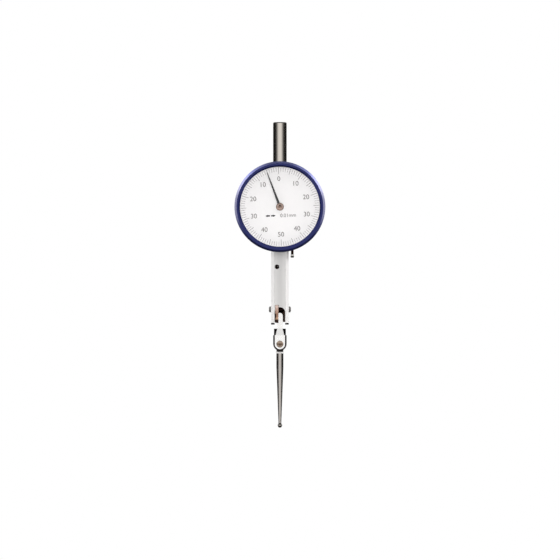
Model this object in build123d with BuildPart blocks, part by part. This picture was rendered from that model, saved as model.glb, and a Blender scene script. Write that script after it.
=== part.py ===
from build123d import *

import os
from math import atan2, cos, degrees, hypot, pi, radians, sin, sqrt, tan

# Lever type dial test indicator, hanging from its stem as it is used.
# Millimetres. +Z runs up the stem, the dial looks towards -Y, and +X is at the reader's right.
# The origin lies on the stem's axis, where the stem leaves its dovetail clamp.

# Shared clearances
running_clearance = 0.05
press_clearance = 0.02
screw_clearance = 0.04
cut_overrun = 1.0

# How far the bezel's edge stands above the clamp, and the pivots below the dial's centre
bezel_tuck = 0.75
sector_pivot_drop = 26.0
lever_pivot_drop = 44.7
swivel_drop = 15.1

# Stem and the dovetail clamp below it
stem_diameter = 6.0
stem_length = 18.0
stem_end_chamfer = 0.35
clamp_hook = 1.5
clamp_inset = 0.25
clamp_height = 7.0
clamp_corner = 1.0
jaw_split = 2.2
jaw_gap = 0.2
clamp_screw_diameter = 2.0
clamp_screw_drop = 2.6
clamp_screw_length = 7.5
clamp_screw_head_diameter = 3.6
clamp_screw_head_height = 1.2

# Dovetails on the frame's top and on the back cover
dovetail_shoulder = 0.35
dovetail_height = 2.0
dovetail_angle = 60.0
rail_length = 22.0
rail_bottom_rise = 18.0

# Frame, a channel section closed at the front and open at the back
front_wall = 1.0
side_wall = 1.55
channel_top_rise = 8.0
frame_bevel = 1.3
fork_reach = 6.6
fork_end_chamfer = 0.7
arch_rise = 1.0
window_above = 6.4
window_below = 8.0
access_hole_diameter = 2.0
access_hole_offset = 1.25
access_hole_drop = 26.1

# Back cover and its countersunk screws
cover_thickness = 1.0
cover_bottom_drop = 5.5
cover_screw_diameter = 0.9
cover_screw_head = 1.5
cover_screw_length = 3.0
cover_screw_end_distance = 1.8

# Dial case, a shallow cup
case_depth = 6.0
case_wall = 1.2
case_floor = 1.0
case_edge_fillet = 0.8
case_screw_diameter = 1.2
case_screw_head = 2.2
case_screw_head_height = 0.5
case_screw_spread = 3.2
case_screw_top_margin = 1.6
case_screw_bottom_margin = 5.2
case_screw_tip = 0.3

# Bezel, crystal, spacer ring and dial plate
bezel_diameter = 39.5
bezel_rim = 2.4
bezel_skirt = 1.4
bezel_bevel_width = 0.9
bezel_bevel_depth = 0.75
bezel_slope_width = 0.7
bezel_slope_depth = 0.35
bezel_back_chamfer = 0.3
bezel_lip = 0.75
bezel_overlap = 2.0
bezel_seat_step = 0.45
bezel_case_clearance = 0.15
crystal_thickness = 0.9
crystal_rise = 0.6
pointer_room = 1.55
dial_thickness = 0.5
dial_gap = 0.2
dial_hole_diameter = 3.4
clip_thickness = 0.5
clip_width = 0.75
clip_gap = 5.0
clip_setback = 1.05
clip_clearance = 0.06

# Movement bridge on two pillars, with the pointer arbor's front bearing
bridge_length = 22.0
bridge_width = 5.0
bridge_thickness = 0.7
bridge_standoff = 3.8
pillar_spacing = 18.0
pillar_diameter = 3.0
bridge_screw_diameter = 1.2
bridge_screw_head = 2.3
bridge_screw_head_height = 0.45
screw_grip = 0.75

# Rear cock with the arbor's rear bearing
cock_width = 2.4
cock_thickness = 0.8
cock_step = 0.25
cock_reach = 0.6
cock_foot_start = 3.2
cock_foot_length = 3.9
cock_screw_head_height = 0.4

# Pointer arbor, its pinion, collet, hub and hand
arbor_diameter = 0.9
arbor_pivot_diameter = 0.5
arbor_pivot_length = 2.0
arbor_bush_diameter = 1.6
pivot_bush_diameter = 1.0
pointer_pinion_teeth = 12
crown_module = 0.11
crown_face_width = 0.6
hub_diameter = 2.9
hub_thickness = 0.35
hub_dish_width = 0.55
hub_dish_depth = 0.28
hub_neck_diameter = 1.6
hub_neck_length = 0.6
hub_glass_gap = 0.25
hand_edge_gap = 1.45
hand_thickness = 0.15
hand_ring_diameter = 2.7
hand_root_width = 1.15
hand_tip_width = 0.3
hand_rest_angle = 20.5
collet_diameter = 1.6
collet_length = 0.5

# Hairspring and the stud that holds its outer end
spiral_turns = 4
spiral_pitch = 0.9
spiral_strip = 0.08
spiral_height = 0.3
stud_diameter = 0.8

# Crown wheel and the pinion on its shaft
crown_teeth = 96
crown_web = 0.4
crown_tooth_width = 0.1
crown_cover_gap = 0.3
crown_hole_diameter = 2.6
crown_hole_circle = 6.2
crown_shaft_diameter = 1.0
crown_pivot_diameter = 0.6
crown_bush_diameter = 1.8
crown_bush_front_wall = 0.72
drive_pinion_teeth = 12
drive_module = 0.2
drive_pinion_width = 1.0
shaft_side_play = 0.1

# Sector lever and its arbor
sector_plate = 0.8
sector_lever_gap = 0.3
sector_wall_gap = 0.4
sector_tooth_count = 7
sector_boss_diameter = 3.4
sector_rim_depth = 1.6
sector_arm_width = 1.8
sector_arbor_diameter = 1.4
sector_pivot_diameter = 0.8
sector_bush_diameter = 2.4

# Tooth form of the drive pinion and the sector, as shares of the module and of the pitch
drive_addendum_share = 0.8
drive_dedendum_share = 1.1
pitch_thickness_share = 0.38
tip_thickness_share = 0.2
crown_addendum_share = 0.75
crown_dedendum_share = 1.1
crown_tooth_tip_share = 0.24
crown_tooth_root_share = 0.34

# Stylus lever inside the fork
drive_arm = 12.28
drive_pin_diameter = 0.8
lever_arm_width = 2.0
lever_arm_thickness = 1.6
lever_boss_diameter = 2.8
lever_arbor_diameter = 2.0
lever_arbor_side_gap = 0.2
lap_length = 4.2
lap_screw_diameter = 0.9
lap_screw_head = 1.5
lap_screw_head_height = 0.4

# Pivot screws in the fork's legs, with their ring nuts
pivot_screw_diameter = 1.8
pivot_screw_stand = 0.95
pivot_screw_slot = 0.35
pivot_cone_radius = 0.6
pivot_cone_gap = 0.05
ring_nut_diameter = 2.6
ring_nut_thickness = 0.75
ring_nut_notch = 0.5

# Stylus holder: neck, collar and slotted barrel
neck_width = 2.5
neck_top_drop = 1.5
holder_thickness = 3.7
collar_diameter = 5.2
collar_height = 2.8
collar_flat_spread = 0.5
barrel_diameter = 6.0
barrel_top_rise = 3.9
barrel_edge_chamfer = 0.15
cheek_slot = 1.3
cheek_slot_rise = 3.75
swivel_screw_diameter = 1.6
swivel_head_diameter = 3.0
swivel_head_height = 0.75
swivel_head_recess = 0.6
swivel_slot_width = 0.45
swivel_slot_depth = 0.35
swivel_screw_end = 0.3

# Swivel hub, friction washer, stylus shank and ball
disc_diameter = 5.7
disc_thickness = 1.0
washer_thickness = 0.2
washer_diameter = 4.0
tongue_width = 3.0
hub_collar_diameter = 3.6
hub_collar_start = 3.45
shank_start = 4.1
shank_diameter = 3.1
shank_straight = 5.7
shank_end_diameter = 1.25
stylus_length = 35.5
ball_diameter = 2.0
stud_thread_diameter = 1.6
stud_thread_length = 2.5
stud_tip_gap = 0.2

# Bronze blade spring seen in the fork's arch
blade_width = 1.4
blade_thickness = 0.15
blade_offset = 1.35
blade_top_rise = 9.0
blade_bend_rise = 0.8
blade_bend_drop = 3.2
blade_straight_drop = 4.5
blade_end_drop = 5.8
blade_end_kick = 1.1
blade_neck_gap = 0.2
blade_screw_rise = 7.6
blade_screw_diameter = 0.8
blade_screw_head = 1.2
blade_screw_head_height = 0.4
blade_notch_rise = 2.0
blade_notch_width = 1.6

# Reversing lever behind the bezel
reverse_frame_gap = 0.975
reverse_edge_distance = 4.2
reverse_hub_diameter = 2.6
reverse_hub_thickness = 1.2
reverse_pin_diameter = 1.15
reverse_pin_length = 6.7
reverse_knob_diameter = 1.45
reverse_knob_length = 1.4
reverse_knob_fillet = 0.3
reverse_shaft_diameter = 1.4
reverse_cam_diameter = 3.0
reverse_cam_thickness = 0.6
reverse_cam_pin_diameter = 0.6
reverse_cam_pin_length = 0.8
reverse_cam_pin_offset = 0.9

# Widths worked out from what stands side by side across the channel
sector_offset = lever_arm_thickness / 2 + sector_lever_gap + sector_plate / 2
channel_width = 2 * (sector_offset + sector_plate / 2 + sector_wall_gap)
frame_width = channel_width + 2 * side_wall
dovetail_width = frame_width - 2 * dovetail_shoulder
clamp_width = dovetail_width + 2 * clamp_hook

# Depth worked out from the crown wheel, whose bushes lie in the side walls
crown_radius = crown_teeth * crown_module / 2
crown_outer_radius = crown_radius + crown_face_width / 2
frame_depth = crown_bush_front_wall + crown_bush_diameter / 2 + crown_outer_radius + crown_cover_gap
clamp_depth = frame_depth + cover_thickness - 2 * clamp_inset

# Diameters worked out from the bezel's ring
bezel_opening = bezel_diameter - 2 * bezel_rim
case_diameter = bezel_diameter - 2 * (bezel_skirt + bezel_case_clearance)
hand_length = bezel_opening / 2 - hand_edge_gap
reverse_x = frame_width / 2 + reverse_frame_gap + reverse_pin_diameter / 2
reverse_pivot_drop = case_diameter / 2 - reverse_edge_distance

# Levels worked out from the sizes above
dial_z = bezel_tuck - bezel_diameter / 2
sector_z = dial_z - sector_pivot_drop
lever_z = dial_z - lever_pivot_drop
swivel_z = lever_z - swivel_drop
fork_bottom_z = lever_z - fork_reach
frame_top_z = -clamp_height
channel_top_z = dial_z + channel_top_rise
drive_pin_z = lever_z + drive_arm
front_y = -(frame_depth + cover_thickness) / 2
frame_back_y = front_y + frame_depth
cover_back_y = frame_back_y + cover_thickness
channel_front_y = front_y + front_wall
floor_y = front_y - case_floor
rim_y = front_y - case_depth
dial_back_y = rim_y - dial_gap
dial_front_y = dial_back_y - dial_thickness
crystal_back_y = dial_front_y - pointer_room
crystal_edge_y = crystal_back_y - crystal_thickness
bezel_front_y = crystal_edge_y - bezel_lip
bezel_back_y = rim_y + bezel_overlap
bridge_back_y = floor_y - bridge_standoff
bridge_front_y = bridge_back_y - bridge_thickness
cock_back_y = floor_y - cock_step
cock_front_y = cock_back_y - cock_thickness

# Gear train worked out from modules and tooth counts
crown_y = frame_back_y - crown_cover_gap - crown_outer_radius
mesh_y = crown_y - crown_radius
pointer_pinion_radius = pointer_pinion_teeth * crown_module / 2
drive_pinion_radius = drive_pinion_teeth * drive_module / 2
sector_distance = hypot(crown_y, sector_pivot_drop)
sector_radius = sector_distance - drive_pinion_radius
sector_lean = degrees(atan2(-crown_y, sector_pivot_drop))
sector_pitch_angle = degrees(drive_module * pi / sector_radius)

os.makedirs("parts", exist_ok=True)


def facing_front(x, y, z, turn=0):
    """A plane seen square from the front, its own x and y along +X and +Z unless turned."""
    across = (cos(radians(turn)), 0, sin(radians(turn)))
    return Plane(origin=(x, y, z), x_dir=across, z_dir=(0, -1, 0))


def facing_right(x, y, z):
    """A plane seen square from the right, with its own x and y along +Y and +Z."""
    return Plane(origin=(x, y, z), x_dir=(0, 1, 0), z_dir=(1, 0, 0))


def radial_plane(x, z):
    """A plane through an axis along Y: its own x is the radius and its own y is +Y."""
    return Plane(origin=(x, 0, z), x_dir=(1, 0, 0), z_dir=(0, 0, 1))


def cross_plane(y, z):
    """A plane through an axis along X: its own x is +X and its own y is the radius."""
    return Plane(origin=(0, y, z), x_dir=(1, 0, 0), z_dir=(0, -1, 0))


def axis_along_y(x, z):
    return Axis((x, 0, z), (0, 1, 0))


def axis_along_x(y, z):
    return Axis((0, y, z), (1, 0, 0))


def save(piece, name):
    """Labels one finished piece and writes it as its own file."""
    piece.part.label = name
    export_step(piece.part, f"parts/{name}.step")


def dovetail_outline(clearance):
    """Corner points of a dovetail that stands up from its base line, widest at its top."""
    half_top = dovetail_width / 2 + clearance
    half_base = half_top - (dovetail_height + clearance) / tan(radians(dovetail_angle))
    top = dovetail_height + clearance
    return [(-half_base, 0), (half_base, 0), (half_top, top), (-half_top, top)]


dial_axis = axis_along_y(0, dial_z)
dial_section = radial_plane(0, dial_z)

# Stem: a ground rod on a block that hooks over the frame's dovetail from the left
jaw_start = jaw_split + jaw_gap
with BuildPart() as stem:
    with BuildSketch(Plane.XY.offset(-clamp_height)) as clamp_outline:
        Rectangle(clamp_width, clamp_depth)
        fillet(clamp_outline.vertices(), radius=clamp_corner)
    extrude(amount=clamp_height)
    with BuildSketch(Plane.XY) as rod_outline:
        Circle(stem_diameter / 2)
    extrude(amount=stem_length)
    chamfer(stem.edges().group_by(Axis.Z)[-1], length=stem_end_chamfer)
    with BuildSketch(facing_front(0, clamp_depth, -clamp_height)):
        Polygon(*dovetail_outline(press_clearance), align=None)
    extrude(amount=2 * clamp_depth, mode=Mode.SUBTRACT)
    with BuildSketch(facing_front(jaw_split, clamp_depth, -clamp_height - cut_overrun)):
        Rectangle(clamp_width, clamp_height + cut_overrun, align=(Align.MIN, Align.MIN))
    extrude(amount=2 * clamp_depth, mode=Mode.SUBTRACT)
    with BuildSketch(facing_right(jaw_split, 0, -clamp_screw_drop)):
        Circle(clamp_screw_diameter / 2 + screw_clearance)
    extrude(amount=-(clamp_screw_length - clamp_width / 2 + jaw_split + cut_overrun), mode=Mode.SUBTRACT)
save(stem, "stem")

# Clamp jaw: the right hand hook, drawn in by the clamp screw
with BuildPart() as clamp_jaw:
    with BuildSketch(Plane.XY.offset(-clamp_height)) as jaw_outline:
        Rectangle(clamp_width, clamp_depth)
        fillet(jaw_outline.vertices(), radius=clamp_corner)
        with Locations((jaw_start, 0)):
            Rectangle(clamp_width, clamp_depth, align=(Align.MIN, Align.CENTER), mode=Mode.INTERSECT)
    extrude(amount=clamp_height - jaw_gap)
    with BuildSketch(facing_front(0, clamp_depth, -clamp_height)):
        Polygon(*dovetail_outline(press_clearance), align=None)
    extrude(amount=2 * clamp_depth, mode=Mode.SUBTRACT)
    with BuildSketch(facing_right(0, 0, -clamp_screw_drop)):
        Circle(clamp_screw_diameter / 2 + screw_clearance)
    extrude(amount=clamp_width, mode=Mode.SUBTRACT)
save(clamp_jaw, "clamp_jaw")

# Clamp screw: cheese head with a driver slot
with BuildPart() as clamp_screw:
    with BuildSketch(facing_right(clamp_width / 2, 0, -clamp_screw_drop)):
        Circle(clamp_screw_diameter / 2)
    extrude(amount=-clamp_screw_length)
    with BuildSketch(facing_right(clamp_width / 2, 0, -clamp_screw_drop)):
        Circle(clamp_screw_head_diameter / 2)
    extrude(amount=clamp_screw_head_height)
    head_top_x = clamp_width / 2 + clamp_screw_head_height
    with BuildSketch(facing_right(head_top_x, 0, -clamp_screw_drop)):
        Rectangle(clamp_screw_head_diameter + cut_overrun, clamp_screw_head_height / 2)
    extrude(amount=-clamp_screw_head_height / 2, mode=Mode.SUBTRACT)
save(clamp_screw, "clamp_screw")

# Frame: milled bar with a dovetail on top, a channel behind, and a fork at the bottom
channel_depth = frame_depth - front_wall
arch_centre_z = lever_z + arch_rise - channel_width / 2
wall_middle_x = (channel_width + frame_width) / 4
cover_bottom_z = lever_z - cover_bottom_drop
cover_screw_z = [cover_bottom_z + cover_screw_end_distance, frame_top_z - cover_screw_end_distance]
cover_screw_points = [(side * wall_middle_x, z) for side in (-1, 1) for z in cover_screw_z]
case_screw_z = [
    dial_z + channel_top_rise + case_screw_top_margin,
    dial_z - case_diameter / 2 + case_screw_bottom_margin,
]
case_screw_points = [(side * case_screw_spread / 2, z) for side in (-1, 1) for z in case_screw_z]
with BuildPart() as frame:
    with BuildSketch(Plane.XY.offset(fork_bottom_z)) as bar_outline:
        with Locations((0, front_y)):
            Rectangle(frame_width, frame_depth, align=(Align.CENTER, Align.MIN))
        chamfer(bar_outline.vertices().group_by(Axis.Y)[0], length=frame_bevel)
    extrude(amount=frame_top_z - fork_bottom_z)
    bar_end = frame.faces().sort_by(Axis.Z)[0]
    chamfer(bar_end.edges().filter_by(Axis.Y, reverse=True), length=fork_end_chamfer)
    with BuildSketch(facing_front(0, front_y, frame_top_z)):
        Polygon(*dovetail_outline(0), align=None)
    extrude(amount=-frame_depth)
    with BuildSketch(Plane.XY.offset(fork_bottom_z - cut_overrun)):
        with Locations((0, channel_front_y)):
            Rectangle(channel_width, channel_depth + cut_overrun, align=(Align.CENTER, Align.MIN))
    extrude(amount=channel_top_z - fork_bottom_z + cut_overrun, mode=Mode.SUBTRACT)
    with BuildSketch(facing_front(0, channel_front_y + front_wall / 2, arch_centre_z)):
        Circle(channel_width / 2)
        Rectangle(channel_width, fork_reach * 2, align=(Align.CENTER, Align.MAX))
        with Locations((-blade_offset, 0)):
            notch_height = lever_z + blade_notch_rise - arch_centre_z
            Rectangle(blade_notch_width, notch_height, align=(Align.CENTER, Align.MIN))
    extrude(amount=2 * front_wall, mode=Mode.SUBTRACT)
    with BuildSketch(facing_front(0, channel_front_y + front_wall / 2, dial_z - window_below)):
        Rectangle(channel_width, window_below + window_above, align=(Align.CENTER, Align.MIN))
    extrude(amount=2 * front_wall, mode=Mode.SUBTRACT)
    with BuildSketch(facing_front(0, channel_front_y + front_wall / 2, 0)):
        with Locations((-access_hole_offset, dial_z - access_hole_drop)):
            Circle(access_hole_diameter / 2)
        with Locations(*case_screw_points):
            Circle(case_screw_diameter / 2 + screw_clearance)
    extrude(amount=2 * front_wall, mode=Mode.SUBTRACT)
    with BuildSketch(facing_right(-frame_width, 0, 0)):
        with Locations((0, lever_z)):
            Circle(pivot_screw_diameter / 2 + screw_clearance)
        with Locations((0, sector_z)):
            Circle(sector_bush_diameter / 2 + press_clearance)
        with Locations((crown_y, dial_z)):
            Circle(crown_bush_diameter / 2 + press_clearance)
    extrude(amount=2 * frame_width, mode=Mode.SUBTRACT)
    with BuildSketch(facing_front(0, frame_back_y, 0)):
        with Locations(*cover_screw_points):
            Circle(cover_screw_diameter / 2 + screw_clearance)
    extrude(amount=cover_screw_length, mode=Mode.SUBTRACT)
    with BuildSketch(facing_front(-blade_offset, channel_front_y, lever_z + blade_screw_rise)):
        Circle(blade_screw_diameter / 2 + screw_clearance)
    extrude(amount=front_wall * screw_grip + screw_clearance, mode=Mode.SUBTRACT)
save(frame, "frame")

# Back cover: a plate over the channel that carries the long dovetail
with BuildPart() as back_cover:
    with BuildSketch(facing_front(0, cover_back_y, cover_bottom_z)):
        Rectangle(frame_width, frame_top_z - cover_bottom_z, align=(Align.CENTER, Align.MIN))
    extrude(amount=cover_thickness)
    with BuildSketch(Plane.XY.offset(cover_bottom_z + rail_bottom_rise)):
        with Locations((0, cover_back_y)):
            Polygon(*dovetail_outline(0), align=None)
    extrude(amount=rail_length)
    with Locations(*[Plane((x, cover_back_y, z), x_dir=(1, 0, 0), z_dir=(0, 1, 0)) for x, z in cover_screw_points]):
        CounterSinkHole(
            radius=cover_screw_diameter / 2 + screw_clearance,
            counter_sink_radius=cover_screw_head / 2 + screw_clearance,
            depth=2 * cover_thickness,
        )
save(back_cover, "back_cover")

# Four countersunk screws hold the back cover
cover_screw_cone = (cover_screw_head - cover_screw_diameter) / 2
with BuildPart() as cover_screws:
    for x, z in cover_screw_points:
        with BuildSketch(radial_plane(x, z)):
            with BuildLine():
                Polyline(
                    (0, cover_back_y),
                    (cover_screw_head / 2, cover_back_y),
                    (cover_screw_diameter / 2, cover_back_y - cover_screw_cone),
                    (cover_screw_diameter / 2, cover_back_y - cover_screw_length),
                    (0, cover_back_y - cover_screw_length),
                    close=True,
                )
            make_face()
        revolve(axis=axis_along_y(x, z))
save(cover_screws, "cover_screws")

# Dial case: turned cup, grooved near its rim for the bezel's clip
case_radius = case_diameter / 2
clip_y = rim_y + clip_setback
clip_inner_radius = case_radius - clip_width / 2 + bezel_case_clearance / 2
clip_outer_radius = clip_inner_radius + clip_width
pillar_points = [(side * pillar_spacing / 2, dial_z) for side in (-1, 1)]
cock_screw_x = -(cock_foot_start + cock_foot_length / 2)
reverse_z = dial_z - reverse_pivot_drop
with BuildPart() as case:
    with BuildSketch(dial_section):
        with BuildLine():
            Polyline(
                (0, front_y),
                (case_radius, front_y),
                (case_radius, rim_y),
                (case_radius - case_wall, rim_y),
                (case_radius - case_wall, floor_y),
                (0, floor_y),
                close=True,
            )
        make_face()
    revolve(axis=dial_axis)
    outer_back_edge = case.edges().filter_by(GeomType.CIRCLE).group_by(Axis.Y)[-1]
    fillet(outer_back_edge, radius=case_edge_fillet)
    with BuildSketch(dial_section):
        with Locations((clip_inner_radius - clip_clearance, clip_y)):
            Rectangle(case_wall, clip_thickness + 2 * clip_clearance, align=(Align.MIN, Align.CENTER))
    revolve(axis=dial_axis, mode=Mode.SUBTRACT)
    with BuildSketch(facing_front(0, front_y + cut_overrun, dial_z - window_below)):
        Rectangle(channel_width, window_below + window_above, align=(Align.CENTER, Align.MIN))
    extrude(amount=2 * (case_floor + cut_overrun), mode=Mode.SUBTRACT)
    with BuildSketch(facing_front(0, front_y + cut_overrun, 0)):
        with Locations(*case_screw_points):
            Circle(case_screw_diameter / 2 + screw_clearance)
        with Locations(*pillar_points, (cock_screw_x, dial_z)):
            Circle(bridge_screw_diameter / 2 + screw_clearance)
        with Locations((reverse_x, reverse_z)):
            Circle(reverse_shaft_diameter / 2 + running_clearance)
    extrude(amount=2 * (case_floor + cut_overrun), mode=Mode.SUBTRACT)
save(case, "dial_case")


def pan_screws(points, seat_y, diameter, length, head_diameter, head_height):
    """Slotted pan head screws that enter from the front, as one group of separate solids."""
    with BuildPart() as screws:
        with BuildSketch(facing_front(0, seat_y, 0)):
            with Locations(*points):
                Circle(diameter / 2)
        extrude(amount=-length)
        with BuildSketch(facing_front(0, seat_y, 0)):
            with Locations(*points):
                Circle(head_diameter / 2)
        extrude(amount=head_height)
        with BuildSketch(facing_front(0, seat_y - head_height, 0)):
            with Locations(*points):
                Rectangle(head_diameter + diameter, head_height / 2)
        extrude(amount=-head_height / 2, mode=Mode.SUBTRACT)
    return screws


# Four screws hold the case to the frame's front wall
case_screw_length = case_floor + front_wall + case_screw_tip
case_screws = pan_screws(
    case_screw_points,
    floor_y,
    case_screw_diameter,
    case_screw_length,
    case_screw_head,
    case_screw_head_height,
)
save(case_screws, "case_screws")

# Bezel: turned ring with a bevelled front, a seat for the crystal and a groove for the clip
bezel_radius = bezel_diameter / 2
seat_radius = bezel_opening / 2 + bezel_seat_step
skirt_radius = case_radius + bezel_case_clearance
with BuildPart() as bezel:
    with BuildSketch(dial_section):
        with BuildLine():
            Polyline(
                (bezel_opening / 2, bezel_front_y + bezel_slope_depth),
                (bezel_opening / 2 + bezel_slope_width, bezel_front_y),
                (bezel_radius - bezel_bevel_width, bezel_front_y),
                (bezel_radius, bezel_front_y + bezel_bevel_depth),
                (bezel_radius, bezel_back_y - bezel_back_chamfer),
                (bezel_radius - bezel_back_chamfer, bezel_back_y),
                (skirt_radius, bezel_back_y),
                (skirt_radius, dial_back_y),
                (seat_radius, dial_back_y),
                (seat_radius, crystal_edge_y),
                (bezel_opening / 2, crystal_edge_y),
                close=True,
            )
        make_face()
    revolve(axis=dial_axis)
    with BuildSketch(dial_section):
        with Locations((clip_outer_radius + clip_clearance, clip_y)):
            Rectangle(case_wall, clip_thickness + 2 * clip_clearance, align=(Align.MAX, Align.CENTER))
    revolve(axis=dial_axis, mode=Mode.SUBTRACT)
save(bezel, "bezel")

# Bezel clip: an open wire ring half in the case's groove and half in the bezel's
with BuildPart() as bezel_clip:
    with BuildSketch(facing_front(0, clip_y + clip_thickness / 2, dial_z)):
        Circle(clip_outer_radius)
        Circle(clip_inner_radius, mode=Mode.SUBTRACT)
        with Locations((0, -clip_outer_radius)):
            Rectangle(clip_gap, clip_outer_radius, mode=Mode.SUBTRACT)
    extrude(amount=clip_thickness)
save(bezel_clip, "bezel_clip")

# Crystal: slightly domed clear disc held behind the bezel's lip
disc_radius = seat_radius - running_clearance
with BuildPart() as crystal:
    with BuildSketch(dial_section):
        with BuildLine():
            Polyline(
                (0, crystal_edge_y - crystal_rise),
                (0, crystal_back_y),
                (disc_radius, crystal_back_y),
                (disc_radius, crystal_edge_y),
                (bezel_opening / 2 - running_clearance, crystal_edge_y),
            )
            dome_edge = bezel_opening / 2 - running_clearance
            dome_radius = (dome_edge**2 + crystal_rise**2) / (2 * crystal_rise)
            RadiusArc((dome_edge, crystal_edge_y), (0, crystal_edge_y - crystal_rise), dome_radius)
        make_face()
    revolve(axis=dial_axis)
save(crystal, "crystal")

# Spacer ring: keeps the dial plate clear of the crystal
with BuildPart() as spacer_ring:
    with BuildSketch(facing_front(0, dial_front_y, dial_z)):
        Circle(disc_radius)
        Circle(bezel_opening / 2, mode=Mode.SUBTRACT)
    extrude(amount=pointer_room)
save(spacer_ring, "spacer_ring")

# Dial plate: printed disc that turns with the bezel
with BuildPart() as dial_plate:
    with BuildSketch(facing_front(0, dial_back_y, dial_z)):
        Circle(disc_radius)
        Circle(dial_hole_diameter / 2, mode=Mode.SUBTRACT)
    extrude(amount=dial_thickness)
save(dial_plate, "dial_plate")

# Movement bridge: flat bar across the case with a bearing bush at its middle
with BuildPart() as bridge:
    with BuildSketch(facing_front(0, bridge_back_y, dial_z)):
        SlotOverall(bridge_length, bridge_width)
        Circle(arbor_bush_diameter / 2 + press_clearance, mode=Mode.SUBTRACT)
        with GridLocations(pillar_spacing, 0, 2, 1):
            Circle(bridge_screw_diameter / 2 + screw_clearance, mode=Mode.SUBTRACT)
    extrude(amount=bridge_thickness)
save(bridge, "movement_bridge")

with BuildPart() as bridge_pillars:
    with BuildSketch(facing_front(0, floor_y, dial_z)):
        with GridLocations(pillar_spacing, 0, 2, 1):
            Circle(pillar_diameter / 2)
            Circle(bridge_screw_diameter / 2 + screw_clearance, mode=Mode.SUBTRACT)
    extrude(amount=bridge_standoff)
save(bridge_pillars, "bridge_pillars")

bridge_screws = pan_screws(
    pillar_points,
    bridge_front_y,
    bridge_screw_diameter,
    bridge_thickness + bridge_standoff + case_floor * screw_grip,
    bridge_screw_head,
    bridge_screw_head_height,
)
save(bridge_screws, "bridge_screws")

# Rear cock: stepped arm that reaches over the window to carry the arbor's rear pivot
foot_end_x = cock_foot_start + cock_foot_length
with BuildPart() as rear_cock:
    with BuildSketch(Plane.XY.offset(dial_z - cock_width / 2)):
        with BuildLine():
            Polyline(
                (-foot_end_x, floor_y),
                (-cock_foot_start, floor_y),
                (-cock_foot_start, cock_back_y),
                (cock_reach, cock_back_y),
                (cock_reach, cock_front_y),
                (-foot_end_x, cock_front_y),
                close=True,
            )
        make_face()
    extrude(amount=cock_width)
    with BuildSketch(facing_front(0, floor_y + cut_overrun, dial_z)):
        Circle(pivot_bush_diameter / 2 + press_clearance)
        with Locations((cock_screw_x, 0)):
            Circle(bridge_screw_diameter / 2 + screw_clearance)
    extrude(amount=2 * (cock_step + cock_thickness + cut_overrun), mode=Mode.SUBTRACT)
save(rear_cock, "rear_cock")

cock_screw = pan_screws(
    [(cock_screw_x, dial_z)],
    cock_front_y,
    bridge_screw_diameter,
    cock_step + cock_thickness + case_floor * screw_grip,
    bridge_screw_head,
    cock_screw_head_height,
)
save(cock_screw, "cock_screw")

# Bronze bushes of the pointer arbor, one in the bridge and one in the cock
with BuildPart() as arbor_bushes:
    with BuildSketch(facing_front(0, bridge_back_y, dial_z)):
        Circle(arbor_bush_diameter / 2)
        Circle(arbor_diameter / 2 + running_clearance, mode=Mode.SUBTRACT)
    extrude(amount=bridge_thickness)
    with BuildSketch(facing_front(0, cock_back_y, dial_z)):
        Circle(pivot_bush_diameter / 2)
        Circle(arbor_pivot_diameter / 2 + running_clearance, mode=Mode.SUBTRACT)
    extrude(amount=cock_thickness)
save(arbor_bushes, "arbor_bushes")

# Pointer arbor: shaft with a fine pinion cut on it and a slender rear pivot
hub_front_y = crystal_back_y + hub_glass_gap
hand_front_y = hub_front_y + hub_thickness
arbor_front_y = hub_front_y + hub_dish_depth
pinion_back_y = mesh_y + crown_face_width / 2
pinion_front_y = mesh_y - crown_face_width / 2
crown_pitch = crown_module * pi


def straight_tooth(root_radius, tip_radius, root_width, tip_width):
    """Corner points of one tapered tooth that points along its own x axis."""
    return [
        (root_radius, -root_width / 2),
        (tip_radius, -tip_width / 2),
        (tip_radius, tip_width / 2),
        (root_radius, root_width / 2),
    ]


with BuildPart() as pointer_arbor:
    with BuildSketch(facing_front(0, pinion_back_y, dial_z)):
        Circle(arbor_diameter / 2)
    extrude(amount=pinion_back_y - arbor_front_y)
    with BuildSketch(facing_front(0, pinion_back_y, dial_z)):
        root_radius = pointer_pinion_radius - crown_dedendum_share * crown_module
        tip_radius = pointer_pinion_radius + crown_addendum_share * crown_module
        Circle(root_radius)
        with PolarLocations(0, pointer_pinion_teeth):
            tooth = straight_tooth(
                arbor_diameter / 2,
                tip_radius,
                crown_tooth_root_share * crown_pitch,
                crown_tooth_tip_share * crown_pitch,
            )
            Polygon(*tooth, align=None)
    extrude(amount=crown_face_width)
    with BuildSketch(facing_front(0, pinion_back_y, dial_z)):
        Circle(arbor_pivot_diameter / 2)
    extrude(amount=-arbor_pivot_length)
save(pointer_arbor, "pointer_arbor")

# Hand and the brass hub that presses it on the arbor, dished round the arbor's end
with BuildPart() as pointer_hub:
    with BuildSketch(facing_front(0, hand_front_y, dial_z)):
        Circle(hub_diameter / 2)
    extrude(amount=hub_thickness)
    chamfer(pointer_hub.edges().group_by(Axis.Y)[0], length=hub_thickness / 3)
    with BuildSketch(facing_front(0, hand_front_y, dial_z)):
        Circle(hub_neck_diameter / 2)
    extrude(amount=-hub_neck_length)
    with BuildSketch(facing_front(0, hub_front_y, dial_z)):
        Circle(arbor_diameter / 2 + press_clearance)
    extrude(amount=-(hub_thickness + hub_neck_length + cut_overrun), mode=Mode.SUBTRACT)
    with BuildSketch(dial_section):
        Polygon(
            (0, hub_front_y),
            (arbor_diameter / 2 + hub_dish_width, hub_front_y),
            (arbor_diameter / 2, arbor_front_y),
            (0, arbor_front_y),
            align=None,
        )
    revolve(axis=dial_axis, mode=Mode.SUBTRACT)
save(pointer_hub, "pointer_hub")

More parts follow.
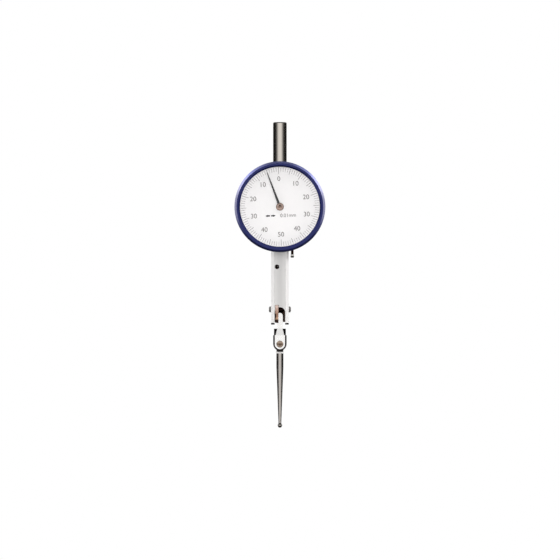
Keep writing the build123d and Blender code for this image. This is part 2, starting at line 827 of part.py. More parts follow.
with BuildPart() as pointer_hand:
    with BuildSketch(facing_front(0, hand_front_y, dial_z, hand_rest_angle)):
        Polygon(
            (-hand_root_width / 2, 0),
            (hand_root_width / 2, 0),
            (hand_tip_width / 2, hand_length),
            (-hand_tip_width / 2, hand_length),
            align=None,
        )
        Circle(hand_ring_diameter / 2)
        Circle(hub_neck_diameter / 2 + press_clearance, mode=Mode.SUBTRACT)
    extrude(amount=-hand_thickness)
save(pointer_hand, "pointer_hand")

# Hairspring, its collet on the arbor and the stud under the bridge
collet_back_y = (bridge_back_y + pinion_front_y + collet_length) / 2
spiral_start = collet_diameter / 2 + spiral_strip / 2
spiral_end = spiral_start + spiral_turns * spiral_pitch
stud_x = spiral_end + spiral_strip / 2 + stud_diameter / 2
spiral_back_y = collet_back_y - (collet_length - spiral_height) / 2
with BuildPart() as hairspring_collet:
    with BuildSketch(facing_front(0, collet_back_y, dial_z)):
        Circle(collet_diameter / 2)
        Circle(arbor_diameter / 2 + press_clearance, mode=Mode.SUBTRACT)
    extrude(amount=collet_length)
save(hairspring_collet, "hairspring_collet")

with BuildPart() as hairspring:
    with BuildSketch(facing_front(0, spiral_back_y, dial_z)):
        with BuildLine():
            for half_turn in range(2 * spiral_turns):
                arc_radius = spiral_start + half_turn * spiral_pitch / 2
                upper = half_turn % 2 == 0
                arc_centre = 0 if upper else spiral_pitch / 2
                CenterArc((arc_centre, 0), arc_radius, 0 if upper else 180, 180)
        trace(line_width=spiral_strip)
    extrude(amount=spiral_height)
save(hairspring, "hairspring")

with BuildPart() as hairspring_stud:
    with BuildSketch(facing_front(stud_x, bridge_back_y, dial_z)):
        Circle(stud_diameter / 2)
    extrude(amount=-(spiral_back_y - bridge_back_y + spiral_height / 2))
save(hairspring_stud, "hairspring_stud")

# Crown wheel: face teeth that turn the motion square, from the cross shaft to the arbor
crown_tip_x = pointer_pinion_radius - crown_addendum_share * crown_module
crown_root_x = pointer_pinion_radius + crown_dedendum_share * crown_module
crown_front = Plane(origin=(crown_root_x, crown_y, dial_z), x_dir=(0, -1, 0), z_dir=(-1, 0, 0))
with BuildPart() as crown_wheel:
    with BuildSketch(crown_front):
        Circle(crown_outer_radius)
        with PolarLocations(crown_hole_circle / 2, 4):
            Circle(crown_hole_diameter / 2, mode=Mode.SUBTRACT)
        Circle(crown_shaft_diameter / 2 + press_clearance, mode=Mode.SUBTRACT)
    extrude(amount=-crown_web)
    with BuildSketch(crown_front):
        with PolarLocations(crown_radius, crown_teeth, start_angle=180 / crown_teeth):
            Rectangle(crown_face_width, crown_tooth_width)
    extrude(amount=crown_root_x - crown_tip_x)
save(crown_wheel, "crown_wheel")

# Cross shaft: drive pinion and two fine pivots in the frame's side walls
shoulder_x = channel_width / 2 - shaft_side_play
pivot_reach = (channel_width + frame_width) / 4 + (frame_width - channel_width) / 8
drive_pitch = drive_module * pi
drive_addendum = drive_addendum_share * drive_module
drive_dedendum = drive_dedendum_share * drive_module


def drive_tooth(pitch_radius, outward):
    """One tooth of the drive pair on a pitch circle, thicker at its root than at its tip."""
    tip = pitch_radius + drive_addendum
    root = pitch_radius - drive_dedendum
    slope = (pitch_thickness_share - tip_thickness_share) * drive_pitch / drive_addendum
    root_width = pitch_thickness_share * drive_pitch + slope * drive_dedendum * outward
    return straight_tooth(root - drive_dedendum, tip, root_width, tip_thickness_share * drive_pitch)


to_sector = Vector(0, -crown_y, -sector_pivot_drop)
pinion_plane = Plane(origin=(-sector_offset, crown_y, dial_z), x_dir=to_sector, z_dir=(1, 0, 0))
with BuildPart() as crown_shaft:
    with BuildSketch(facing_right(-shoulder_x, crown_y, dial_z)):
        Circle(crown_shaft_diameter / 2)
    extrude(amount=2 * shoulder_x)
    with BuildSketch(facing_right(-pivot_reach, crown_y, dial_z)):
        Circle(crown_pivot_diameter / 2)
    extrude(amount=2 * pivot_reach)
    with BuildSketch(pinion_plane.offset(-drive_pinion_width / 2)):
        Circle(drive_pinion_radius - drive_dedendum)
        with PolarLocations(0, drive_pinion_teeth, start_angle=180 / drive_pinion_teeth):
            Polygon(*drive_tooth(drive_pinion_radius, 0), align=None)
    extrude(amount=drive_pinion_width)
save(crown_shaft, "crown_shaft")


def wall_bushes(y, z, outer_diameter, bore_diameter):
    """A pair of flush bronze bushes in the frame's two side walls."""
    with BuildPart() as bushes:
        with BuildSketch(facing_right(channel_width / 2, y, z)):
            Circle(outer_diameter / 2)
            Circle(bore_diameter / 2 + running_clearance, mode=Mode.SUBTRACT)
        extrude(amount=(frame_width - channel_width) / 2)
        mirror(about=Plane.YZ)
    return bushes


save(wall_bushes(crown_y, dial_z, crown_bush_diameter, crown_pivot_diameter), "crown_bushes")
save(wall_bushes(0, sector_z, sector_bush_diameter, sector_pivot_diameter), "sector_bushes")

# Sector lever: toothed segment above its arbor and a forked tail below
sector_back_x = -sector_offset - sector_plate / 2
toward_crown = Vector(0, crown_y, sector_pivot_drop)
sector_plane = Plane(origin=(sector_back_x, 0, sector_z), x_dir=toward_crown, z_dir=(1, 0, 0))
sector_root = sector_radius - drive_dedendum
sector_half_angle = sector_pitch_angle * (sector_tooth_count + 1) / 2
rim_half_width = sector_root * sin(radians(sector_half_angle))
tail_length = sector_z - drive_pin_z
tail_end = tail_length + drive_pin_diameter
with BuildPart() as sector_lever:
    with BuildSketch(sector_plane):
        Polygon((0, 0), (2 * sector_root, -2 * rim_half_width), (2 * sector_root, 2 * rim_half_width), align=None)
        Circle(sector_root, mode=Mode.INTERSECT)
        Circle(sector_root - sector_rim_depth, mode=Mode.SUBTRACT)
        with Locations((sector_root - sector_rim_depth / 2, 0)):
            Rectangle(sector_root - sector_rim_depth / 2, sector_arm_width, align=(Align.MAX, Align.CENTER))
        Circle(sector_boss_diameter / 2)
        first_tooth = -sector_pitch_angle * (sector_tooth_count - 1) / 2
        for number in range(sector_tooth_count):
            with PolarLocations(0, 1, start_angle=first_tooth + number * sector_pitch_angle):
                Polygon(*drive_tooth(sector_radius, 1), align=None)
    extrude(amount=sector_plate)
    with BuildSketch(facing_right(sector_back_x, 0, sector_z)):
        Rectangle(lever_arm_width, tail_end, align=(Align.CENTER, Align.MAX))
    extrude(amount=sector_plate)
    with BuildSketch(facing_right(sector_back_x - cut_overrun, 0, drive_pin_z)):
        Circle(drive_pin_diameter / 2 + running_clearance)
        Rectangle(
            drive_pin_diameter + 2 * running_clearance,
            2 * drive_pin_diameter,
            align=(Align.CENTER, Align.MAX),
        )
    extrude(amount=sector_plate + 2 * cut_overrun, mode=Mode.SUBTRACT)
    with BuildSketch(facing_right(sector_back_x - cut_overrun, 0, sector_z)):
        Circle(sector_arbor_diameter / 2 + press_clearance)
    extrude(amount=sector_plate + 2 * cut_overrun, mode=Mode.SUBTRACT)
save(sector_lever, "sector_lever")

with BuildPart() as sector_arbor:
    with BuildSketch(facing_right(-shoulder_x, 0, sector_z)):
        Circle(sector_arbor_diameter / 2)
    extrude(amount=2 * shoulder_x)
    with BuildSketch(facing_right(-pivot_reach, 0, sector_z)):
        Circle(sector_pivot_diameter / 2)
    extrude(amount=2 * pivot_reach)
save(sector_arbor, "sector_arbor")

# Stylus lever: blackened arm from the drive pin down to the lap that takes the holder
lap_top_z = lever_z - neck_top_drop
lap_bottom_z = lap_top_z - lap_length
lap_screw_z = (lap_top_z + lap_bottom_z) / 2
half_thickness = holder_thickness / 2
with BuildPart() as stylus_lever:
    with BuildSketch(facing_right(-lever_arm_thickness / 2, 0, lever_z)):
        Rectangle(lever_arm_width, drive_arm, align=(Align.CENTER, Align.MIN))
        with Locations((0, drive_arm)):
            Circle(lever_arm_width / 2)
        Circle(lever_boss_diameter / 2)
    extrude(amount=lever_arm_thickness)
    with BuildSketch(facing_front(0, half_thickness, lap_bottom_z)):
        lap_height = lever_z - lap_bottom_z
        Rectangle(lever_arm_thickness, lap_height, align=(Align.CENTER, Align.MIN))
    extrude(amount=half_thickness)
    with BuildSketch(facing_right(-channel_width, 0, 0)):
        with Locations((0, lever_z)):
            Circle(lever_arbor_diameter / 2 + press_clearance)
        with Locations((0, drive_pin_z)):
            Circle(drive_pin_diameter / 2 + press_clearance)
    extrude(amount=2 * channel_width, mode=Mode.SUBTRACT)
    with BuildSketch(facing_front(0, half_thickness + cut_overrun, lap_screw_z)):
        Circle(lap_screw_diameter / 2 + screw_clearance)
    extrude(amount=half_thickness + cut_overrun, mode=Mode.SUBTRACT)
save(stylus_lever, "stylus_lever")

# Lever arbor: hardened cross pin with a conical pit at each end
arbor_end_x = channel_width / 2 - lever_arbor_side_gap
pit_radius = pivot_cone_radius + pivot_cone_gap
with BuildPart() as lever_arbor:
    with BuildSketch(cross_plane(0, lever_z)):
        with BuildLine():
            Polyline(
                (0, 0),
                (arbor_end_x - pit_radius, 0),
                (arbor_end_x, pit_radius),
                (arbor_end_x, lever_arbor_diameter / 2),
                (0, lever_arbor_diameter / 2),
                close=True,
            )
        make_face()
    revolve(axis=axis_along_x(0, lever_z))
    mirror(about=Plane.YZ)
save(lever_arbor, "lever_arbor")

# Drive pin: carries the lever's swing into the sector lever's forked tail
pin_left_x = sector_back_x - shaft_side_play
with BuildPart() as drive_pin:
    with BuildSketch(facing_right(pin_left_x, 0, drive_pin_z)):
        Circle(drive_pin_diameter / 2)
    extrude(amount=lever_arm_thickness / 2 - pin_left_x)
save(drive_pin, "drive_pin")

# Pivot screws: coned ends in the arbor's pits, slotted outer ends
screw_outer_x = frame_width / 2 + pivot_screw_stand
cone_tip_x = arbor_end_x - pivot_cone_radius
cone_base_x = arbor_end_x
with BuildPart() as pivot_screws:
    with BuildSketch(cross_plane(0, lever_z)):
        with BuildLine():
            Polyline(
                (cone_tip_x, 0),
                (cone_base_x, pivot_cone_radius),
                (channel_width / 2, pivot_cone_radius),
                (channel_width / 2, pivot_screw_diameter / 2),
                (screw_outer_x, pivot_screw_diameter / 2),
                (screw_outer_x, 0),
                close=True,
            )
        make_face()
    revolve(axis=axis_along_x(0, lever_z))
    with BuildSketch(facing_right(screw_outer_x, 0, lever_z)):
        Rectangle(pivot_screw_slot, pivot_screw_diameter + cut_overrun)
    extrude(amount=-pivot_screw_slot, mode=Mode.SUBTRACT)
    mirror(about=Plane.YZ)
save(pivot_screws, "pivot_screws")

with BuildPart() as ring_nuts:
    with BuildSketch(facing_right(frame_width / 2, 0, lever_z)):
        Circle(ring_nut_diameter / 2)
        Circle(pivot_screw_diameter / 2 + screw_clearance, mode=Mode.SUBTRACT)
    extrude(amount=ring_nut_thickness)
    with BuildSketch(facing_right(frame_width / 2 + ring_nut_thickness, 0, lever_z)):
        Rectangle(ring_nut_notch, ring_nut_diameter + cut_overrun)
        Rectangle(ring_nut_diameter + cut_overrun, ring_nut_notch)
    extrude(amount=-ring_nut_thickness / 2, mode=Mode.SUBTRACT)
    mirror(about=Plane.YZ)
save(ring_nuts, "ring_nuts")

# Stylus holder: neck in front of the lap, round collar, and a barrel milled flat and slotted
barrel_radius = barrel_diameter / 2
barrel_top_z = swivel_z + barrel_top_rise
collar_top_z = barrel_top_z + collar_height
recess_floor_y = -half_thickness + swivel_head_recess
with BuildPart() as holder:
    with BuildSketch(facing_front(0, 0, 0)):
        with BuildLine():
            Polyline(
                (0, swivel_z - barrel_radius),
                (0, collar_top_z),
                (collar_diameter / 2, collar_top_z),
                (collar_diameter / 2, barrel_top_z),
                (barrel_radius - barrel_edge_chamfer, barrel_top_z),
                (barrel_radius, barrel_top_z - barrel_edge_chamfer),
                (barrel_radius, swivel_z),
            )
            RadiusArc((barrel_radius, swivel_z), (0, swivel_z - barrel_radius), barrel_radius)
        make_face()
    revolve(axis=Axis.Z)
    with BuildSketch(facing_right(-barrel_diameter, 0, 0)):
        flat_line = [
            (-half_thickness, swivel_z - barrel_diameter),
            (-half_thickness, barrel_top_z),
            (-half_thickness - collar_flat_spread, collar_top_z),
            (-half_thickness - collar_flat_spread, collar_top_z + cut_overrun),
        ]
        outer_line = [(-barrel_diameter, flat_line[-1][1]), (-barrel_diameter, flat_line[0][1])]
        Polygon(*flat_line, *outer_line, align=None)
        mirror(about=Plane.YZ)
    extrude(amount=2 * barrel_diameter, mode=Mode.SUBTRACT)
    neck_top_z = lap_top_z - neck_width / 2
    with BuildSketch(facing_front(0, 0, neck_top_z)):
        Circle(neck_width / 2)
        Rectangle(neck_width, neck_top_z - collar_top_z, align=(Align.CENTER, Align.MAX))
    extrude(amount=half_thickness)
    with BuildSketch(facing_front(0, half_thickness, lap_bottom_z - press_clearance)):
        Rectangle(neck_width, lap_bottom_z - press_clearance - collar_top_z, align=(Align.CENTER, Align.MAX))
    extrude(amount=2 * half_thickness)
    with BuildSketch(facing_front(0, cheek_slot / 2, swivel_z + cheek_slot_rise)):
        Rectangle(2 * barrel_diameter, 2 * barrel_diameter, align=(Align.CENTER, Align.MAX))
    extrude(amount=cheek_slot, mode=Mode.SUBTRACT)
    with BuildSketch(facing_front(0, barrel_diameter, swivel_z)):
        Circle(swivel_screw_diameter / 2 + screw_clearance)
    extrude(amount=2 * barrel_diameter, mode=Mode.SUBTRACT)
    with BuildSketch(facing_front(0, recess_floor_y, swivel_z)):
        Circle(swivel_head_diameter / 2 + screw_clearance)
    extrude(amount=barrel_diameter, mode=Mode.SUBTRACT)
    with BuildSketch(facing_front(0, 0, lap_screw_z)):
        Circle(lap_screw_diameter / 2 + screw_clearance)
    extrude(amount=half_thickness * screw_grip, mode=Mode.SUBTRACT)
save(holder, "stylus_holder")

# Lap screw: enters from behind and holds the holder to the lever
with BuildPart() as lap_screw:
    with BuildSketch(facing_front(0, half_thickness, lap_screw_z)):
        Circle(lap_screw_diameter / 2)
    extrude(amount=half_thickness * (1 + screw_grip) - screw_clearance)
    with BuildSketch(facing_front(0, half_thickness, lap_screw_z)):
        Circle(lap_screw_head / 2)
    extrude(amount=-lap_screw_head_height)
    with BuildSketch(facing_front(0, half_thickness + lap_screw_head_height, lap_screw_z)):
        Rectangle(lap_screw_head + cut_overrun, lap_screw_head_height / 2)
    extrude(amount=lap_screw_head_height / 2, mode=Mode.SUBTRACT)
save(lap_screw, "lap_screw")

# Swivel screw: slotted brass head in the front cheek, squeezing the cheeks on the disc
head_front_y = recess_floor_y - swivel_head_height
with BuildPart() as swivel_screw:
    with BuildSketch(facing_front(0, recess_floor_y, swivel_z)):
        Circle(swivel_head_diameter / 2)
    extrude(amount=swivel_head_height)
    chamfer(swivel_screw.edges().group_by(Axis.Y)[0], length=swivel_head_height / 4)
    with BuildSketch(facing_front(0, recess_floor_y, swivel_z)):
        Circle(swivel_screw_diameter / 2)
    extrude(amount=-(half_thickness + swivel_screw_end - recess_floor_y))
    with BuildSketch(facing_front(0, head_front_y, swivel_z)):
        Rectangle(swivel_head_diameter + cut_overrun, swivel_slot_width)
    extrude(amount=-swivel_slot_depth, mode=Mode.SUBTRACT)
save(swivel_screw, "swivel_screw")

# Friction washer behind the disc
disc_front_y = -cheek_slot / 2 + running_clearance
disc_back_y = disc_front_y + disc_thickness
washer_front_y = disc_back_y + press_clearance
disc_middle_y = (disc_front_y + disc_back_y) / 2
with BuildPart() as friction_washer:
    with BuildSketch(facing_front(0, washer_front_y, swivel_z)):
        Circle(washer_diameter / 2)
        Circle(swivel_screw_diameter / 2 + screw_clearance, mode=Mode.SUBTRACT)
    extrude(amount=-washer_thickness)
save(friction_washer, "friction_washer")

# Swivel hub: disc and tongue between the cheeks, with a collar and a threaded stud for the stylus
with BuildPart() as swivel_hub:
    with BuildSketch(facing_front(0, disc_back_y, swivel_z)):
        Circle(disc_diameter / 2)
        Rectangle(tongue_width, hub_collar_start, align=(Align.CENTER, Align.MAX))
    extrude(amount=disc_thickness)
    with BuildSketch(Plane((0, disc_middle_y, swivel_z - hub_collar_start))):
        Circle(hub_collar_diameter / 2)
    with BuildSketch(Plane((0, disc_middle_y, swivel_z - shank_start))):
        Circle(shank_diameter / 2)
    loft()
    with BuildSketch(Plane((0, disc_middle_y, swivel_z - shank_start - stud_thread_length))):
        Circle(stud_thread_diameter / 2)
    extrude(amount=stud_thread_length)
    with BuildSketch(facing_front(0, disc_back_y + cut_overrun, swivel_z)):
        Circle(swivel_screw_diameter / 2 + running_clearance)
    extrude(amount=disc_thickness + 2 * cut_overrun, mode=Mode.SUBTRACT)
save(swivel_hub, "swivel_hub")

# Stylus shank: straight, then tapered to the ball
shank_axis = Axis((0, disc_middle_y, 0), (0, 0, 1))
shank_top_z = swivel_z - shank_start
taper_top_z = shank_top_z - shank_straight
ball_z = swivel_z - stylus_length
ball_radius = ball_diameter / 2
shank_end_z = ball_z + sqrt(ball_radius**2 - (shank_end_diameter / 2) ** 2)
stud_bore_radius = stud_thread_diameter / 2 + screw_clearance
stud_bore_z = shank_top_z - stud_thread_length - stud_tip_gap
with BuildPart() as shank:
    with BuildSketch(Plane(origin=(0, disc_middle_y, 0), x_dir=(1, 0, 0), z_dir=(0, -1, 0))):
        with BuildLine():
            Polyline(
                (stud_bore_radius, shank_top_z),
                (shank_diameter / 2, shank_top_z),
                (shank_diameter / 2, taper_top_z),
                (shank_end_diameter / 2, shank_end_z),
            )
            RadiusArc((shank_end_diameter / 2, shank_end_z), (0, ball_z + ball_radius), -ball_radius)
            Polyline(
                (0, ball_z + ball_radius),
                (0, stud_bore_z),
                (stud_bore_radius, stud_bore_z),
                (stud_bore_radius, shank_top_z),
            )
        make_face()
    revolve(axis=shank_axis)
save(shank, "stylus_shank")

with BuildPart() as ball:
    with Locations((0, disc_middle_y, ball_z)):
        Sphere(ball_radius)
save(ball, "stylus_ball")

# Blade spring: bronze strip screwed behind the front wall, leaning back to the holder's neck
blade_wall_y = channel_front_y + blade_thickness / 2
blade_near_y = -(half_thickness + blade_neck_gap + blade_thickness / 2)
with BuildPart() as blade_spring:
    with BuildSketch(facing_right(-blade_offset - blade_width / 2, 0, lever_z)):
        with BuildLine():
            Polyline(
                (blade_wall_y, blade_top_rise),
                (blade_wall_y, blade_bend_rise),
                (blade_near_y, -blade_bend_drop),
                (blade_near_y, -blade_straight_drop),
                (blade_near_y - blade_end_kick, -blade_end_drop),
            )
        trace(line_width=blade_thickness)
    extrude(amount=blade_width)
    with BuildSketch(facing_front(-blade_offset, channel_front_y + cut_overrun, lever_z + blade_screw_rise)):
        Circle(blade_screw_diameter / 2 + screw_clearance)
    extrude(amount=2 * cut_overrun, mode=Mode.SUBTRACT)
save(blade_spring, "blade_spring")

with BuildPart() as blade_screw:
    blade_back_y = channel_front_y + blade_thickness
    with BuildSketch(facing_front(-blade_offset, blade_back_y, lever_z + blade_screw_rise)):
        Circle(blade_screw_diameter / 2)
    extrude(amount=blade_thickness + front_wall * screw_grip)
    with BuildSketch(facing_front(-blade_offset, blade_back_y, lever_z + blade_screw_rise)):
        Circle(blade_screw_head / 2)
    extrude(amount=-blade_screw_head_height)
save(blade_screw, "blade_screw")

# Reversing lever: hub behind the case, a slim pin down to its knob, and the cam inside
reverse_front_y = front_y + running_clearance
reverse_middle_y = reverse_front_y + reverse_hub_thickness / 2
with BuildPart() as reversing_lever:
    with BuildSketch(facing_front(reverse_x, reverse_front_y, reverse_z)):
        Circle(reverse_hub_diameter / 2)
    extrude(amount=-reverse_hub_thickness)
    with BuildSketch(Plane((reverse_x, reverse_middle_y, reverse_z - reverse_pin_length))):
        Circle(reverse_pin_diameter / 2)
    extrude(amount=reverse_pin_length)
    with BuildSketch(facing_front(reverse_x, reverse_front_y, reverse_z)):
        Circle(reverse_shaft_diameter / 2 + press_clearance)
    extrude(amount=-reverse_hub_thickness / 2, mode=Mode.SUBTRACT)
save(reversing_lever, "reversing_lever")

with BuildPart() as reversing_knob:
    knob_top_z = reverse_z - reverse_pin_length
    with BuildSketch(Plane((reverse_x, reverse_middle_y, knob_top_z - reverse_knob_length))):
        Circle(reverse_knob_diameter / 2)
    extrude(amount=reverse_knob_length)
    fillet(reversing_knob.edges().group_by(Axis.Z)[0], radius=reverse_knob_fillet)
save(reversing_knob, "reversing_knob")

with BuildPart() as reversing_cam:
    cam_back_y = floor_y - running_clearance
    with BuildSketch(facing_front(reverse_x, cam_back_y, reverse_z)):
        Circle(reverse_cam_diameter / 2)
    extrude(amount=reverse_cam_thickness)
    with BuildSketch(facing_front(reverse_x, cam_back_y, reverse_z)):
        Circle(reverse_shaft_diameter / 2)
    extrude(amount=-(reverse_front_y + reverse_hub_thickness / 2 - cam_back_y - press_clearance))
    with BuildSketch(facing_front(reverse_x, cam_back_y - reverse_cam_thickness, reverse_z)):
        with Locations((-reverse_cam_pin_offset, 0)):
            Circle(reverse_cam_pin_diameter / 2)
    extrude(amount=reverse_cam_pin_length)
save(reversing_cam, "reversing_cam")
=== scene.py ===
import math

import bmesh
import bpy
from mathutils import Matrix, Vector


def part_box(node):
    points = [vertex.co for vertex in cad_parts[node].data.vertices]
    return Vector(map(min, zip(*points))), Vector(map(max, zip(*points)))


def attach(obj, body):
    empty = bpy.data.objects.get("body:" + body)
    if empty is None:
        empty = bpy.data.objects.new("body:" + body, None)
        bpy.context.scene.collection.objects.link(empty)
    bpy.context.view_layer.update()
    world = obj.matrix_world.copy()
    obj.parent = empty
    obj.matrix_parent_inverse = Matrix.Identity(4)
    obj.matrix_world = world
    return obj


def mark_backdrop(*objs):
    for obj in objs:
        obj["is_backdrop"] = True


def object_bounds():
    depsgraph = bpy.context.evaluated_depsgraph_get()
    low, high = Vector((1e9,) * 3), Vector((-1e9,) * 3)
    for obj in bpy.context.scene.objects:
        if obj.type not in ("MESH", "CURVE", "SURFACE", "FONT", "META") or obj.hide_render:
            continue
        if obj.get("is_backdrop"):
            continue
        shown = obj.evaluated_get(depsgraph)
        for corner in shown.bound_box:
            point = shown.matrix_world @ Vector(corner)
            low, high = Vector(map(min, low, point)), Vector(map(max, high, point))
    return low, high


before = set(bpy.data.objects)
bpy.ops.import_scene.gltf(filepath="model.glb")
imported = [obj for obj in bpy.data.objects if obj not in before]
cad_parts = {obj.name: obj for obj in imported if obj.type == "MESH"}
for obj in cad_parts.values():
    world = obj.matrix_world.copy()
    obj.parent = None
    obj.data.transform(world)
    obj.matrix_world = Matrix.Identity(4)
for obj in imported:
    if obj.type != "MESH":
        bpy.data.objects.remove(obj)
cad_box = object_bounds()

# Frame bar, its back cover and the clamp's jaw. They are milled from steel and plated in
# pearl chrome, a matt plating over a fine blasted ground that stays pale from every side.
# The faint long streaks come from the linishing before plating.
MM = 0.001


def linear(hex_colour):
    """An sRGB hex colour as the linear values that a shader works in."""
    parts = [int(hex_colour[i:i + 2], 16) / 255 for i in (1, 3, 5)]
    return [c / 12.92 if c <= 0.04045 else ((c + 0.055) / 1.055) ** 2.4 for c in parts] + [1.0]


def fill(node, inputs):
    """Links a node's inputs to other nodes, or sets them."""
    for key, value in inputs.items():
        if isinstance(value, bpy.types.NodeSocket):
            node.id_data.links.new(value, node.inputs[key])
        else:
            node.inputs[key].default_value = value


def add(tree, kind, inputs=None, **settings):
    """Adds one node, sets its properties, and links or sets its inputs."""
    made = tree.nodes.new(kind)
    for name, value in settings.items():
        setattr(made, name, value)
    fill(made, inputs or {})
    return made


def empty_material(name):
    """A material with an empty node tree, and that tree."""
    material = bpy.data.materials.new(name)
    material.use_nodes = True
    material.node_tree.nodes.clear()
    return material, material.node_tree


def new_material(name):
    """A material, its node tree and its Principled shader, already on the output."""
    material, tree = empty_material(name)
    shader = add(tree, "ShaderNodeBsdfPrincipled")
    add(tree, "ShaderNodeOutputMaterial", {"Surface": shader.outputs[0]})
    return material, tree, shader


def place_on(tree, axis):
    """The place along one axis, in metres."""
    place = add(tree, "ShaderNodeTexCoord").outputs["Object"]
    return add(tree, "ShaderNodeSeparateXYZ", {0: place}).outputs[axis]


def from_axis(tree, centre, axis):
    """The distance from an axis through a centre, and the place from that centre in X, Y, Z."""
    place = add(tree, "ShaderNodeTexCoord").outputs["Object"]
    centred = add(tree, "ShaderNodeVectorMath", {0: place, 1: centre}, operation="SUBTRACT")
    kept = [0.0 if letter == axis else 1.0 for letter in "XYZ"]
    across = {0: centred.outputs[0], 1: kept}
    flat = add(tree, "ShaderNodeVectorMath", across, operation="MULTIPLY")
    radius = add(tree, "ShaderNodeVectorMath", {0: flat.outputs[0]}, operation="LENGTH")
    parts = add(tree, "ShaderNodeSeparateXYZ", {0: centred.outputs[0]})
    return radius.outputs["Value"], parts.outputs


def tool_marks(tree, grain_mm, centre=(0, 0, 0), turned=None):
    """Noise that is grain_mm long on each axis. A turned piece's marks run round its axis,
    so there the noise is read at the distance from that axis and at the place along it."""
    if turned is None:
        place = add(tree, "ShaderNodeTexCoord").outputs["Object"]
    else:
        radius, parts = from_axis(tree, centre, turned)
        place = add(tree, "ShaderNodeCombineXYZ", {"X": radius, "Y": parts[turned]}).outputs[0]
    scale = [1 / (length * MM) for length in grain_mm]
    sized = add(tree, "ShaderNodeMapping", {"Vector": place, "Scale": scale}).outputs[0]
    noise = add(tree, "ShaderNodeTexNoise", {"Vector": sized, "Scale": 1.0, "Detail": 3.0})
    return noise.outputs["Fac"]


def dress(material, *names):
    """Gives CAD pieces their finish."""
    for name in names:
        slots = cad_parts[name].data.materials
        slots.clear()
        slots.append(material)


def masked(tree, low, high):
    """1 inside the box between two corners, given in metres on Object coordinates, else 0."""
    place = add(tree, "ShaderNodeTexCoord").outputs["Object"]
    middle = [(a + b) / 2 for a, b in zip(low, high)]
    half = [(b - a) / 2 for a, b in zip(low, high)]
    shifted = add(tree, "ShaderNodeVectorMath", {0: place, 1: middle}, operation="SUBTRACT")
    sized = {0: shifted.outputs[0], 1: half}
    share = add(tree, "ShaderNodeVectorMath", sized, operation="DIVIDE")
    folded = add(tree, "ShaderNodeVectorMath", {0: share.outputs[0]}, operation="ABSOLUTE")
    farthest = 0.0
    for part in add(tree, "ShaderNodeSeparateXYZ", {0: folded.outputs[0]}).outputs:
        larger = add(tree, "ShaderNodeMath", {0: farthest, 1: part}, operation="MAXIMUM")
        farthest = larger.outputs[0]
    return add(tree, "ShaderNodeMath", {0: farthest, 1: 1.0}, operation="LESS_THAN").outputs[0]


def leaning(tree, axis, least, most):
    """1 where the surface's own normal leans along that axis between two shares, else 0."""
    normal = add(tree, "ShaderNodeTexCoord").outputs["Normal"]
    folded = add(tree, "ShaderNodeVectorMath", {0: normal}, operation="ABSOLUTE")
    lean = add(tree, "ShaderNodeSeparateXYZ", {0: folded.outputs[0]}).outputs[axis]
    above = add(tree, "ShaderNodeMath", {0: lean, 1: least}, operation="GREATER_THAN")
    below = add(tree, "ShaderNodeMath", {0: lean, 1: most}, operation="LESS_THAN")
    between = {0: above.outputs[0], 1: below.outputs[0]}
    return add(tree, "ShaderNodeMath", between, operation="MULTIPLY").outputs[0]


def plating(name):
    """Pearl chrome plate: its tree, its shader, its pale colour and its blasted grain."""
    material, tree, shader = new_material(name)
    streaks = tool_marks(tree, (0.5, 0.5, 7.0))
    blasted = tool_marks(tree, (0.16, 0.16, 0.16))
    tint = add(
        tree,
        "ShaderNodeMix",
        {"Factor": streaks, "A": linear("#D3D1D0"), "B": linear("#DEDDDB")},
        data_type="RGBA",
    ).outputs["Result"]
    polish = add(tree, "ShaderNodeMapRange", {"Value": blasted, "To Min": 0.40, "To Max": 0.52})
    proud = 0.0012 * MM
    relief = add(tree, "ShaderNodeBump", {"Height": blasted, "Distance": proud, "Strength": 1.0})
    fill(shader, {"Base Color": tint, "Roughness": polish.outputs[0], "Normal": relief.outputs[0]})
    shader.inputs["Metallic"].default_value = 0.4
    return material, tree, shader, tint, blasted


def half_plated(name, bare_and_shade_boxes, bare_and_shade_tones, bevel_highlight_tone):
    """Pearl chrome plate that stays off the surfaces inside some boxes. Its long bevels are
    painted brighter than the face between them, as painted highlight, and the face is painted
    darker down its middle, as painted shade."""
    material, tree, shader, pale, blasted = plating(name)
    rub_half_width = 2.2 * MM
    # The face is painted darker down its middle, as painted shade.
    aside = add(tree, "ShaderNodeMath", {0: place_on(tree, "X")}, operation="ABSOLUTE")
    painted_shading_zone = add(
        tree,
        "ShaderNodeMapRange",
        {"Value": aside.outputs[0], "From Max": rub_half_width, "To Min": 0.35, "To Max": 0.0},
        interpolation_type="SMOOTHSTEP",
    )
    face = add(
        tree,
        "ShaderNodeMix",
        {"Factor": painted_shading_zone.outputs[0], "A": pale, "B": linear("#B9B7B6")},
        data_type="RGBA",
    )
    # The long bevels are painted brighter, as painted highlight.
    bevel = leaning(tree, "X", 0.4, 0.9)
    finished = add(
        tree,
        "ShaderNodeMix",
        {"Factor": bevel, "A": face.outputs["Result"], "B": linear(bevel_highlight_tone)},
        data_type="RGBA",
    )
    # Inside the boxes the given tones replace the plate: bare steel on the cover, painted shade in
    # the frame's channel and fork ends.
    bare = 0.0
    for low, high in bare_and_shade_boxes:
        inside = masked(tree, low, high)
        bare = add(tree, "ShaderNodeMath", {0: bare, 1: inside}, operation="MAXIMUM").outputs[0]
    steel = add(
        tree,
        "ShaderNodeMix",
        {"Factor": blasted, "A": linear(bare_and_shade_tones[0]), "B": linear(bare_and_shade_tones[1])},
        data_type="RGBA",
    )
    skin = add(
        tree,
        "ShaderNodeMix",
        {"Factor": bare, "A": finished.outputs["Result"], "B": steel.outputs["Result"]},
        data_type="RGBA",
    ).outputs["Result"]
    shine = add(tree, "ShaderNodeMapRange", {"Value": bare, "To Min": 0.4, "To Max": 1.0})
    polish = add(tree, "ShaderNodeMapRange", {"Value": bare, "To Min": 0.46, "To Max": 0.85})
    fill(shader, {"Base Color": skin, "Roughness": polish.outputs[0], "Metallic": shine.outputs[0]})
    return material


dress(plating("Pearl chrome plate")[0], "clamp_jaw")
